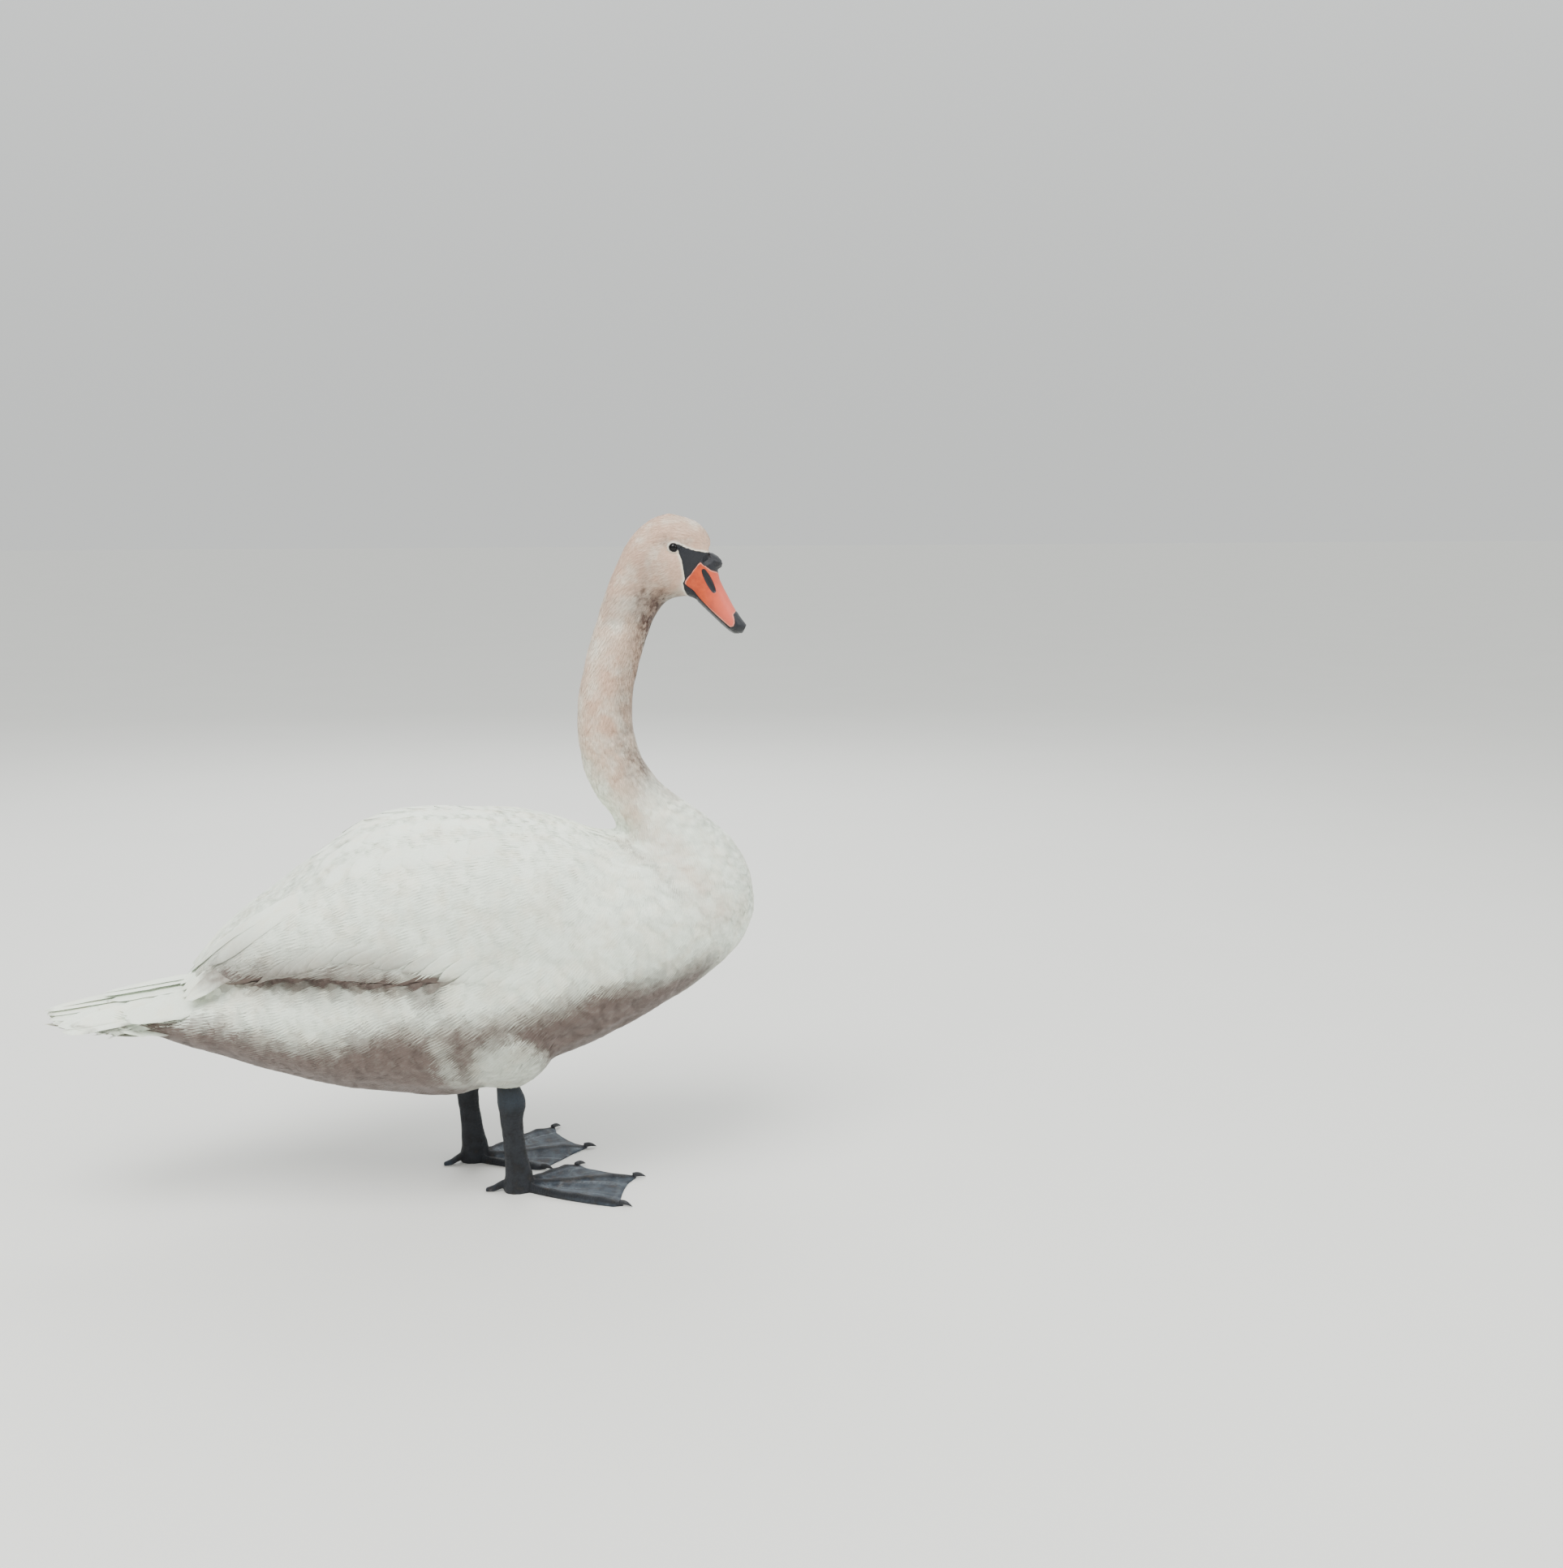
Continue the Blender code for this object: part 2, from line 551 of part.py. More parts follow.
def build_foot(name, side, shift, mats):
    """Flat-soled webbed foot, with its heel under the leg."""
    mesh_data = bmesh.new()
    heel = Vector((HEEL_X + shift, side * (LEG_OFFSET - HEEL_INSET), 0.0))
    angles = []
    for start, end in zip(TOE_ANGLES, TOE_ANGLES[1:]):
        angles += [start + (end - start) * i / WEB_RAYS for i in range(WEB_RAYS)]
    angles = [TOE_ANGLES[0] - TOE_EDGE] + angles + [TOE_ANGLES[-1], TOE_ANGLES[-1] + TOE_EDGE]
    top = []
    low = []
    for angle in angles:
        inside = min(max(angle, TOE_ANGLES[0]), TOE_ANGLES[-1])
        reach = foot_reach(inside) * (1.0 if inside == angle else SIDE_REACH)
        top_line = []
        low_line = []
        for share in WEB_SHARES:
            bowed = angle * (1 + TOE_BOW * (1 - share))
            point = heel + foot_heading(bowed, side) * (reach * share)
            rise = foot_rise(inside, share) * (1.0 if inside == angle else SIDE_RISE)
            rise *= TIP_RISE if share == 1.0 else 1.0
            top_line.append(mesh_data.verts.new(point + Vector((0, 0, rise))))
            low_line.append(mesh_data.verts.new(point))
        top.append(top_line)
        low.append(low_line)
    rows = len(WEB_SHARES)
    for i in range(len(angles) - 1):
        for j in range(rows - 1):
            mesh_data.faces.new((top[i][j], top[i][j + 1], top[i + 1][j + 1], top[i + 1][j]))
            mesh_data.faces.new((low[i][j], low[i + 1][j], low[i + 1][j + 1], low[i][j + 1]))
        for j in (0, rows - 1):
            mesh_data.faces.new((top[i][j], top[i + 1][j], low[i + 1][j], low[i][j]))
    for i in (0, len(angles) - 1):
        for j in range(rows - 1):
            mesh_data.faces.new((top[i][j], low[i][j], low[i][j + 1], top[i][j + 1]))
    foot = add_object("foot_" + name, mesh_data, mats["foot"])
    ankle = heel_block(name, side, shift, mats)
    cut(foot, ankle, "UNION")
    cut(foot, hallux(name, side, shift, mats), "UNION")
    build_claws(name, side, heel, mats)


def foot_heading(angle, side):
    """Level direction of a toe, mirrored between the two feet."""
    turn = math.radians(angle) * -side
    if side > 0:
        turn += math.radians(LEFT_FOOT_TURN)
    return Vector((math.cos(turn), math.sin(turn), 0.0))


def heel_block(name, side, shift, mats):
    """Heel joint under the bare leg, a helper that is joined to the foot."""
    x = LEG_ROWS[-1][1] + shift
    y = side * LEG_OFFSET
    rings = [oval(x, y, z, half_length, half_width, LEG_SIDES) for z, half_length, half_width in HEEL_ROWS]
    return as_cutter(add_object("guide_heel_" + name, loft(rings), mats["foot"]))


def hallux(name, side, shift, mats):
    """Short hind toe with a flat under its tip, a helper that is joined to the foot."""
    rings = []
    for back, inwards, height, radius in HALLUX_ROWS:
        x = LEG_ROWS[-1][1] + shift - back
        y = side * (LEG_OFFSET - inwards)
        ring = []
        for i in range(HALLUX_SIDES):
            angle = 2 * math.pi * i / HALLUX_SIDES
            rise = max(height + radius * math.sin(angle), 0.0)
            ring.append(Vector((x, y + radius * math.cos(angle), rise)))
        rings.append(ring)
    return as_cutter(add_object("guide_hallux_" + name, loft(rings), mats["foot"]))


def build_claws(name, side, heel, mats):
    """Three blunt claws beyond the toe tips."""
    for number, (angle, length) in enumerate(zip(TOE_ANGLES, TOE_LENGTHS), start=1):
        heading = foot_heading(angle, side)
        across = Vector((-heading.y, heading.x, 0.0))
        rings = []
        for share in CLAW_STEPS:
            radius = CLAW_RADIUS * (1 - CLAW_TAPER * share ** CLAW_TAPER_POWER)
            centre = heel + heading * (length + CLAW_GAP + CLAW_LENGTH * share)
            centre.z = CLAW_RADIUS * (CLAW_HEIGHT - CLAW_DROP * share ** CLAW_DROP_POWER)
            ring = []
            for i in range(CLAW_SIDES):
                turn = 2 * math.pi * (i + 0.5) / CLAW_SIDES
                rise = Vector((0, 0, radius * math.sin(turn)))
                ring.append(centre + across * (radius * math.cos(turn)) + rise)
            rings.append(ring)
        add_object("claw_%s_%d" % (name, number), loft(rings), mats["claw"])


# ---------------------------------------------------------------- whole bird


def settle():
    """Move the bird so that the middle of its base is the origin."""
    bpy.context.view_layer.update()
    graph = bpy.context.evaluated_depsgraph_get()
    low = np.full(3, np.inf)
    high = np.full(3, -np.inf)
    for obj in bpy.data.objects:
        if obj.hide_render:
            continue
        mesh = obj.evaluated_get(graph).to_mesh()
        points = np.array([v.co for v in mesh.vertices])
        low = np.minimum(low, points.min(axis=0))
        high = np.maximum(high, points.max(axis=0))
    middle = (low + high) / 2
    shift = Matrix.Translation((-middle[0], -middle[1], -low[2]))
    for obj in bpy.data.objects:
        obj.data.transform(shift)


def main():
    """Build the swan."""
    for obj in list(bpy.data.objects):
        bpy.data.objects.remove(obj, do_unlink=True)
    mats = {
        "feather": material("feather_white", (0.78, 0.79, 0.74), 0.75),
        "neck": material("feather_buff", (0.66, 0.60, 0.52), 0.75),
        "bill": material("bill_orange", (0.80, 0.22, 0.09), 0.40),
        "bill_dark": material("bill_black", (0.02, 0.02, 0.025), 0.35),
        "eye": material("eye_dark", (0.01, 0.008, 0.007), 0.08),
        "leg": material("leg_slate", (0.05, 0.055, 0.065), 0.60),
        "foot": material("web_grey", (0.13, 0.16, 0.19), 0.55),
        "claw": material("claw_black", (0.02, 0.02, 0.02), 0.45),
    }
    parts, trunk_room = build_body(mats)
    build_bill(parts, mats)
    build_face(parts, mats)
    build_wings(trunk_room, mats)
    build_tail(trunk_room, mats)
    build_leg("right", -1, 0.0, trunk_room, mats)
    build_leg("left", 1, LEFT_LEG_SHIFT, trunk_room, mats)
    settle()


main()
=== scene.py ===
"""Looks of a standing mute swan, a still life-size display model on its fixed frame."""

from __future__ import annotations

import json
import logging
import math
from dataclasses import dataclass, field
from enum import Enum
from typing import Any, Iterable, Sequence

import bmesh
import bpy
import numpy as np
from bpy.types import Collection, Material, Mesh, Node, NodeSocket, NodeTree, Object
from mathutils import Matrix, Vector, bvhtree, kdtree, noise

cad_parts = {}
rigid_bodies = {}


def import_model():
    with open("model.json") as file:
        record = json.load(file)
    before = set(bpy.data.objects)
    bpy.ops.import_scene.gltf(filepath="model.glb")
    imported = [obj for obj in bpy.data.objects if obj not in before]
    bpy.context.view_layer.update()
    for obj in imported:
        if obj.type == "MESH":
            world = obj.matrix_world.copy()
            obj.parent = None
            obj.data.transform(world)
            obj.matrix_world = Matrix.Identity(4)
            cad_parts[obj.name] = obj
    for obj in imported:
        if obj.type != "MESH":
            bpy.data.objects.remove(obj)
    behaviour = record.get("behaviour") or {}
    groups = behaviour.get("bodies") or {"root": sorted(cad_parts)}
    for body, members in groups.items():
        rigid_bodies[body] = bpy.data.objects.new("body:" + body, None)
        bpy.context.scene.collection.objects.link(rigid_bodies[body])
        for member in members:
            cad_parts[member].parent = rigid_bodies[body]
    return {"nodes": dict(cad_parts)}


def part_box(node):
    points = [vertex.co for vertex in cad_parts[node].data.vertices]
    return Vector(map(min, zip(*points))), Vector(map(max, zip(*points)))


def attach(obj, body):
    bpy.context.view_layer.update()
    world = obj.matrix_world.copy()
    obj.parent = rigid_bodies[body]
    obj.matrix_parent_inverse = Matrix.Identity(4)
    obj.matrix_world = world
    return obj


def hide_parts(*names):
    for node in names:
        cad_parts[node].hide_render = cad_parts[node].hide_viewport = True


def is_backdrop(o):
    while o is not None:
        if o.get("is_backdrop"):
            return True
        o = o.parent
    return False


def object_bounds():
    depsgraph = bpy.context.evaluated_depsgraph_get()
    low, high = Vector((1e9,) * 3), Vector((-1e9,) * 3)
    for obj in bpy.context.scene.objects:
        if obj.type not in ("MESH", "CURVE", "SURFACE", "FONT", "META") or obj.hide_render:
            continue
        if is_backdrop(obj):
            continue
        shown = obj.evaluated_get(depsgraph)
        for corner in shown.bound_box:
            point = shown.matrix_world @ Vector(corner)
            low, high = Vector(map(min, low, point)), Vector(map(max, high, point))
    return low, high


LOG = logging.getLogger("swan")
BODY = "root"
UV_NAME = "OFBake"
TUFT_PATCH = 0.003
MERGE_GAP = 2e-5
TINY = 1e-12

Array = np.ndarray
Place = tuple[float, float]
Spot = tuple[float, float, float]
Profile = Sequence[Place]


class Slot(Enum):
    """Material slots of the record."""

    WHITE = "feather_white"
    BUFF = "feather_buff"
    ORANGE = "bill_orange"
    BLACK = "bill_black"
    EYE = "eye_dark"
    LEG = "leg_slate"
    CLAW = "claw_black"


class Region(Enum):
    """Regions of the skin that carry their own feathers."""

    HEAD = 0
    NECK = 1
    THROAT = 2
    BREAST = 3
    TRUNK = 4
    WING = 5
    THIGH = 6
    TAIL = 7
    BILL = 8


class Side(Enum):
    """Sides of the bird; the value is the sign of y."""

    LEFT = 1
    RIGHT = -1


NODE_REGION = {
    "head": Region.HEAD,
    "neck_upper": Region.NECK,
    "neck_middle": Region.NECK,
    "neck_lower": Region.THROAT,
    "breast": Region.BREAST,
    "trunk": Region.TRUNK,
    "wing_left": Region.WING,
    "wing_right": Region.WING,
    "thigh_left": Region.THIGH,
    "thigh_right": Region.THIGH,
    "tail": Region.TAIL,
    "bill_upper": Region.BILL,
    "bill_lower": Region.BILL,
    "bill_nail": Region.BILL,
}

# ---------------------------------------------------------------- mesh helpers


def read(data: Any, key: str, width: int = 1, kind: type = np.float32) -> Array:
    """Numbers of all the vertices, edges, corners or faces of a mesh, or of an attribute.

    Args:
        data: The collection that holds them.
        key: Name of the number on each member.
        width: How many numbers each member has.
        kind: Type of the numbers.

    Returns:
        One row for each member, or a flat array where each has a single number.
    """
    values = np.empty(len(data) * width, dtype=kind)
    data.foreach_get(key, values)
    if kind is np.float32:
        values = values.astype(float)
    return values if width == 1 else values.reshape(-1, width)


def read_points(mesh: Mesh) -> Array:
    """Vertex places of a mesh, one row each."""
    return read(mesh.vertices, "co", 3)


def read_normals(mesh: Mesh) -> Array:
    """Vertex normals of a mesh, one row each."""
    return read(mesh.vertex_normals, "vector", 3)


def read_edges(mesh: Mesh) -> Array:
    """Vertex numbers of every edge."""
    return read(mesh.edges, "vertices", 2, np.int32)


def write_points(mesh: Mesh, points: Array) -> None:
    """Put vertex places into a mesh."""
    mesh.vertices.foreach_set("co", points.astype(np.float32).ravel())
    mesh.update()


def plain_mesh(work: bmesh.types.BMesh, name: str) -> Mesh:
    """New mesh with what a work mesh holds, which is freed.

    Args:
        work: The work mesh.
        name: Name of the new mesh.

    Returns:
        The new mesh.
    """
    mesh = bpy.data.meshes.new(name)
    work.to_mesh(mesh)
    work.free()
    return mesh


def blank(width: int = 3) -> Any:
    """Dataclass field that starts as an array without rows."""
    return field(default_factory=lambda: np.zeros((0, width)))


def relaxed(
    values: Array, edges: Array, rounds: int, share: float = 0.5, mask: Array | None = None
) -> Array:
    """Blur values over a mesh by moving each one towards its neighbours' mean.

    Args:
        values: One row of numbers for each vertex.
        edges: Vertex numbers of the edges.
        rounds: Number of passes.
        share: Part of the way that a value moves in a pass.
        mask: Weight of each vertex, or None for all alike.

    Returns:
        The blurred values, with the shape of the given ones.
    """
    flat = values.reshape(len(values), -1).astype(float)
    first, second = edges[:, 0], edges[:, 1]
    size = len(flat)
    count = np.maximum(np.bincount(edges.ravel(), minlength=size), 1)
    weight = share * (np.ones(size) if mask is None else mask)
    for _ in range(rounds):
        total = np.empty_like(flat)
        for column in range(flat.shape[1]):
            total[:, column] = np.bincount(first, flat[second, column], size)
            total[:, column] += np.bincount(second, flat[first, column], size)
        flat = flat + weight[:, None] * (total / count[:, None] - flat)
    return flat.reshape(values.shape)


def unit(vectors: Array) -> Array:
    """Vectors of length one."""
    return vectors / np.maximum(np.linalg.norm(vectors, axis=-1, keepdims=True), TINY)


def mixed(first: Any, last: Any, share: Any) -> Array:
    """Place or number that lies a share of the way from one to another."""
    return np.asarray(first, float) * (1 - share) + np.asarray(last, float) * share


def smooth(low: float, high: float, value: Array) -> Array:
    """Smooth step from 0 at low to 1 at high."""
    share = np.clip((np.asarray(value, float) - low) / (high - low), 0.0, 1.0)
    return share * share * (3 - 2 * share)


def store(
    mesh: Mesh, name: str, values: Array, kind: str = "FLOAT", domain: str = "POINT"
) -> None:
    """Keep numbers on a mesh as a named attribute.

    Args:
        mesh: The mesh.
        name: Name of the attribute.
        values: One row for each member of the domain.
        kind: Type of the attribute.
        domain: What the values belong to.
    """
    attribute = mesh.attributes.get(name) or mesh.attributes.new(name, kind, domain)
    key = "vector" if kind in ("FLOAT_VECTOR", "FLOAT2") else "value"
    attribute.data.foreach_set(key, np.asarray(values).ravel())


def new_object(name: str, mesh: Mesh) -> Object:
    """Link a mesh into the scene.

    Args:
        name: Name of the new object.
        mesh: Its mesh.

    Returns:
        The object.
    """
    obj = bpy.data.objects.new(name, mesh)
    bpy.context.scene.collection.objects.link(obj)
    return obj


def applied(obj: Object) -> Mesh:
    """Plain mesh of an object with its modifiers.

    Args:
        obj: The object, which stays as it is.

    Returns:
        A new mesh.
    """
    bpy.context.view_layer.update()
    graph = bpy.context.evaluated_depsgraph_get()
    return bpy.data.meshes.new_from_object(
        obj.evaluated_get(graph), preserve_all_data_layers=True, depsgraph=graph
    )


def dropped(obj: Object) -> None:
    """Remove a helper object, and its mesh where nothing else uses it.

    Args:
        obj: The helper.
    """
    mesh = obj.data
    bpy.data.objects.remove(obj, do_unlink=True)
    if isinstance(mesh, Mesh) and mesh.users == 0:
        bpy.data.meshes.remove(mesh)


def merged_copy(names: Iterable[str], grow: float = 0.0) -> Mesh:
    """Copies of frame nodes in one mesh, with their loose corners merged.

    Args:
        names: Node names.
        grow: Distance by which each copy is swollen.

    Returns:
        A new mesh.
    """
    whole = bmesh.new()
    for name in names:
        part = bmesh.new()
        part.from_mesh(FRAME.node(name).data)
        bmesh.ops.remove_doubles(part, verts=part.verts, dist=MERGE_GAP)
        part.normal_update()
        for vert in part.verts:
            vert.co += vert.normal * grow
        scratch = plain_mesh(part, "scratch")
        whole.from_mesh(scratch)
        bpy.data.meshes.remove(scratch)
    return plain_mesh(whole, "copy")


def largest_island(work: bmesh.types.BMesh) -> set[bmesh.types.BMVert]:
    """Corners of the largest connected part of a work mesh.

    Args:
        work: The work mesh.

    Returns:
        Its corners.
    """
    unseen = set(work.verts)
    largest: list[bmesh.types.BMVert] = []
    while unseen:
        seed = unseen.pop()
        group = [seed]
        stack = [seed]
        while stack:
            for edge in stack.pop().link_edges:
                for vert in unseen.intersection(edge.verts):
                    unseen.discard(vert)
                    group.append(vert)
                    stack.append(vert)
        if len(group) > len(largest):
            largest = group
    return set(largest)


def remeshed(mesh: Mesh, voxel: float) -> Mesh:
    """Even mesh over the outside of closed shapes, without any inner shell.

    Args:
        mesh: The closed shapes, removed afterwards.
        voxel: Size of the even faces.

    Returns:
        A new mesh.
    """
    helper = new_object("guide", mesh)
    step = helper.modifiers.new("shell", "REMESH")
    step.mode = "VOXEL"
    step.voxel_size = voxel
    result = applied(helper)
    dropped(helper)
    work = bmesh.new()
    work.from_mesh(result)
    keep = largest_island(work)
    bmesh.ops.delete(work, geom=[v for v in work.verts if v not in keep], context="VERTS")
    work.to_mesh(result)
    work.free()
    return result


def bumpy(points: Array, size: float, seed: float = 0.0) -> Array:
    """Soft noise between about -1 and 1 at points.

    Args:
        points: Places, one row each.
        size: Distance over which the noise changes.
        seed: Offset that gives another pattern.

    Returns:
        One number for each point.
    """
    shift = Vector((seed, seed * 1.7, -seed))
    return np.array([noise.noise(Vector(p) / size + shift) for p in points])


def outline_distance(points: Array, outline: Profile) -> Array:
    """Distance to a closed outline, positive inside.

    Args:
        points: Places in the outline's plane, one row of two numbers each.
        outline: Corners in order.

    Returns:
        One signed distance for each point.
    """
    corners = np.array(outline, dtype=float)
    following = np.roll(corners, -1, axis=0)
    best = np.full(len(points), np.inf)
    inside = np.zeros(len(points), dtype=bool)
    for start, end in zip(corners, following):
        along = end - start
        share = np.clip(((points - start) @ along) / (along @ along), 0.0, 1.0)
        best = np.minimum(best, np.linalg.norm(points - start - share[:, None] * along, axis=1))
        spans = (start[1] > points[:, 1]) != (end[1] > points[:, 1])
        rise = along[1] if along[1] else TINY
        crossing = start[0] + (points[:, 1] - start[1]) * along[0] / rise
        inside ^= spans & (points[:, 0] < crossing)
    return np.where(inside, best, -best)


def segment_distance(
    points: Array, start: Sequence[float], end: Sequence[float]
) -> tuple[Array, Array]:
    """Distance to a straight line.

    Args:
        points: Places, one row each.
        start: Start of the line.
        end: End of the line.

    Returns:
        The distances, and the share of the way along the line of each nearest place.
    """
    origin = np.array(start, dtype=float)
    along = np.array(end, dtype=float) - origin
    share = np.clip(((points - origin) @ along) / (along @ along), 0.0, 1.0)
    return np.linalg.norm(points - origin - share[:, None] * along, axis=1), share


def bell(gap: Array, width: float) -> Array:
    """Soft bump, one where the gap is nothing."""
    return np.exp(-((gap / width) ** 2))


def patch(plane: Array, centre: Place, size: Place) -> Array:
    """Soft oval patch in a side plane, one in its middle."""
    return np.exp(-(((plane - np.array(centre)) / np.array(size)) ** 2).sum(axis=1))


def line_distance(plane: Array, line: Profile) -> Array:
    """Distance to a line of places in a side plane."""
    gaps = [segment_distance(plane, first, last)[0] for first, last in zip(line, line[1:])]
    return np.min(gaps, axis=0)


def band(plane: Array, line: Profile, width: float) -> Array:
    """Soft band along a line of places in a side plane, one on the line."""
    return bell(line_distance(plane, line), width)


def unwrap(obj: Object, margin: float = 0.002) -> None:
    """Give a mesh the bake map, cut where its own shape turns.

    Args:
        obj: The piece.
        margin: Space between the parts of the map.
    """
    mesh = obj.data
    for layer in list(mesh.uv_layers):
        mesh.uv_layers.remove(layer)
    mesh.uv_layers.new(name=UV_NAME)
    for other in bpy.context.view_layer.objects:
        other.select_set(other is obj)
    bpy.context.view_layer.objects.active = obj
    bpy.ops.object.mode_set(mode="EDIT")
    bpy.ops.mesh.select_all(action="SELECT")
    bpy.ops.uv.smart_project(angle_limit=math.radians(66), island_margin=margin)
    bpy.ops.object.mode_set(mode="OBJECT")


def dressed(name: str, mesh: Mesh, finish: Material) -> Object:
    """Object with one finish and the bake map.

    Args:
        name: Name of the object.
        mesh: Its mesh.
        finish: Its material.

    Returns:
        The object.
    """
    mesh.materials.clear()
    mesh.materials.append(finish)
    piece = new_object(name, mesh)
    unwrap(piece)
    return piece


# ---------------------------------------------------------------- frame and landmarks


@dataclass
class Frame:
    """Fixed frame of the bird and the places that its parts are measured from."""

    nodes: dict[str, Object] = field(default_factory=dict)
    origin: Array = field(default_factory=lambda: np.zeros(3))
    box: list[list[float]] = field(default_factory=list)
    trunk_rear: float = -0.420
    pivot: Spot = (0.175, 0.0, 0.0)
    head_turn: float = math.radians(-12.0)

    def load(self) -> None:
        """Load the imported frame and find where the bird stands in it."""
        self.nodes = dict(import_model()["nodes"])
        self.box = [list(corner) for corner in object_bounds()]
        middle = (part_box("wing_left")[0][1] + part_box("wing_right")[1][1]) / 2
        self.origin = np.array([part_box("trunk")[0][0] - self.trunk_rear, middle, 0.0])

    def node(self, name: str) -> Object:
        """Object of a frame node."""
        return self.nodes[name]

    def turn(self) -> Array:
        """Matrix of the head's turn to the bird's right."""
        return np.array(Matrix.Rotation(self.head_turn, 3, "Z"))

    def body(self, points: Array) -> Array:
        """Places measured from under the bird's middle, for places in the frame."""
        return points - self.origin

    def face(self, points: Array) -> Array:
        """Places in the unturned head's own axes, for places in the frame."""
        pivot = np.array(self.pivot)
        return (points - self.origin - pivot) @ self.turn() + pivot

    def from_body(self, points: Array) -> Array:
        """Places in the frame, for places measured from under the bird's middle."""
        return np.asarray(points, float) + self.origin

    def from_face(self, points: Array) -> Array:
        """Places in the frame, for places in the unturned head's own axes."""
        pivot = np.array(self.pivot)
        return (np.asarray(points, float) - pivot) @ self.turn().T + pivot + self.origin


FRAME = Frame()


@dataclass(frozen=True)
class FacePlan:
    """Outlines of the face in the head's side plane, x forwards and z up."""

    eye: Place = (0.2330, 0.7860)
    eye_depth: float = 0.0243
    eye_radius: float = 0.0072
    ring: float = 0.0057
    lore: Profile = (
        (0.2370, 0.7905), (0.2415, 0.7888), (0.2490, 0.7852), (0.2580, 0.7822),
        (0.2656, 0.7808), (0.2733, 0.7795), (0.2790, 0.7780), (0.2845, 0.7750),
        (0.2890, 0.7705), (0.2930, 0.7620), (0.3000, 0.7550), (0.3400, 0.7200),
        (0.3400, 0.6600), (0.2900, 0.6700), (0.2600, 0.7165),
        (0.2535, 0.7230), (0.2478, 0.7290), (0.2450, 0.7356), (0.2440, 0.7432),
        (0.2460, 0.7483), (0.2450, 0.7560), (0.2438, 0.7636), (0.2424, 0.7713),
        (0.2395, 0.7780),
    )
    orange: Profile = (
        (0.2650, 0.7680), (0.2612, 0.7648), (0.2575, 0.7602), (0.2518, 0.7526),
        (0.2468, 0.7455), (0.2462, 0.7420), (0.2482, 0.7375), (0.2515, 0.7330),
        (0.2605, 0.7240), (0.2707, 0.7151), (0.2810, 0.7062), (0.2924, 0.6960),
        (0.3020, 0.6878), (0.3100, 0.6750), (0.3400, 0.6900), (0.3400, 0.7560),
        (0.2880, 0.7550), (0.2774, 0.7585), (0.2700, 0.7645),
    )
    slot: tuple[Place, Place] = ((0.2690, 0.7575), (0.2812, 0.7335))
    slot_width: float = 0.0036
    slot_depth: float = 0.0020

    def eyeball(self, side: Side) -> Array:
        """Centre of an eyeball in the head's axes."""
        return np.array([self.eye[0], side.value * self.eye_depth, self.eye[1]])


FACE = FacePlan()

# ---------------------------------------------------------------- node helpers


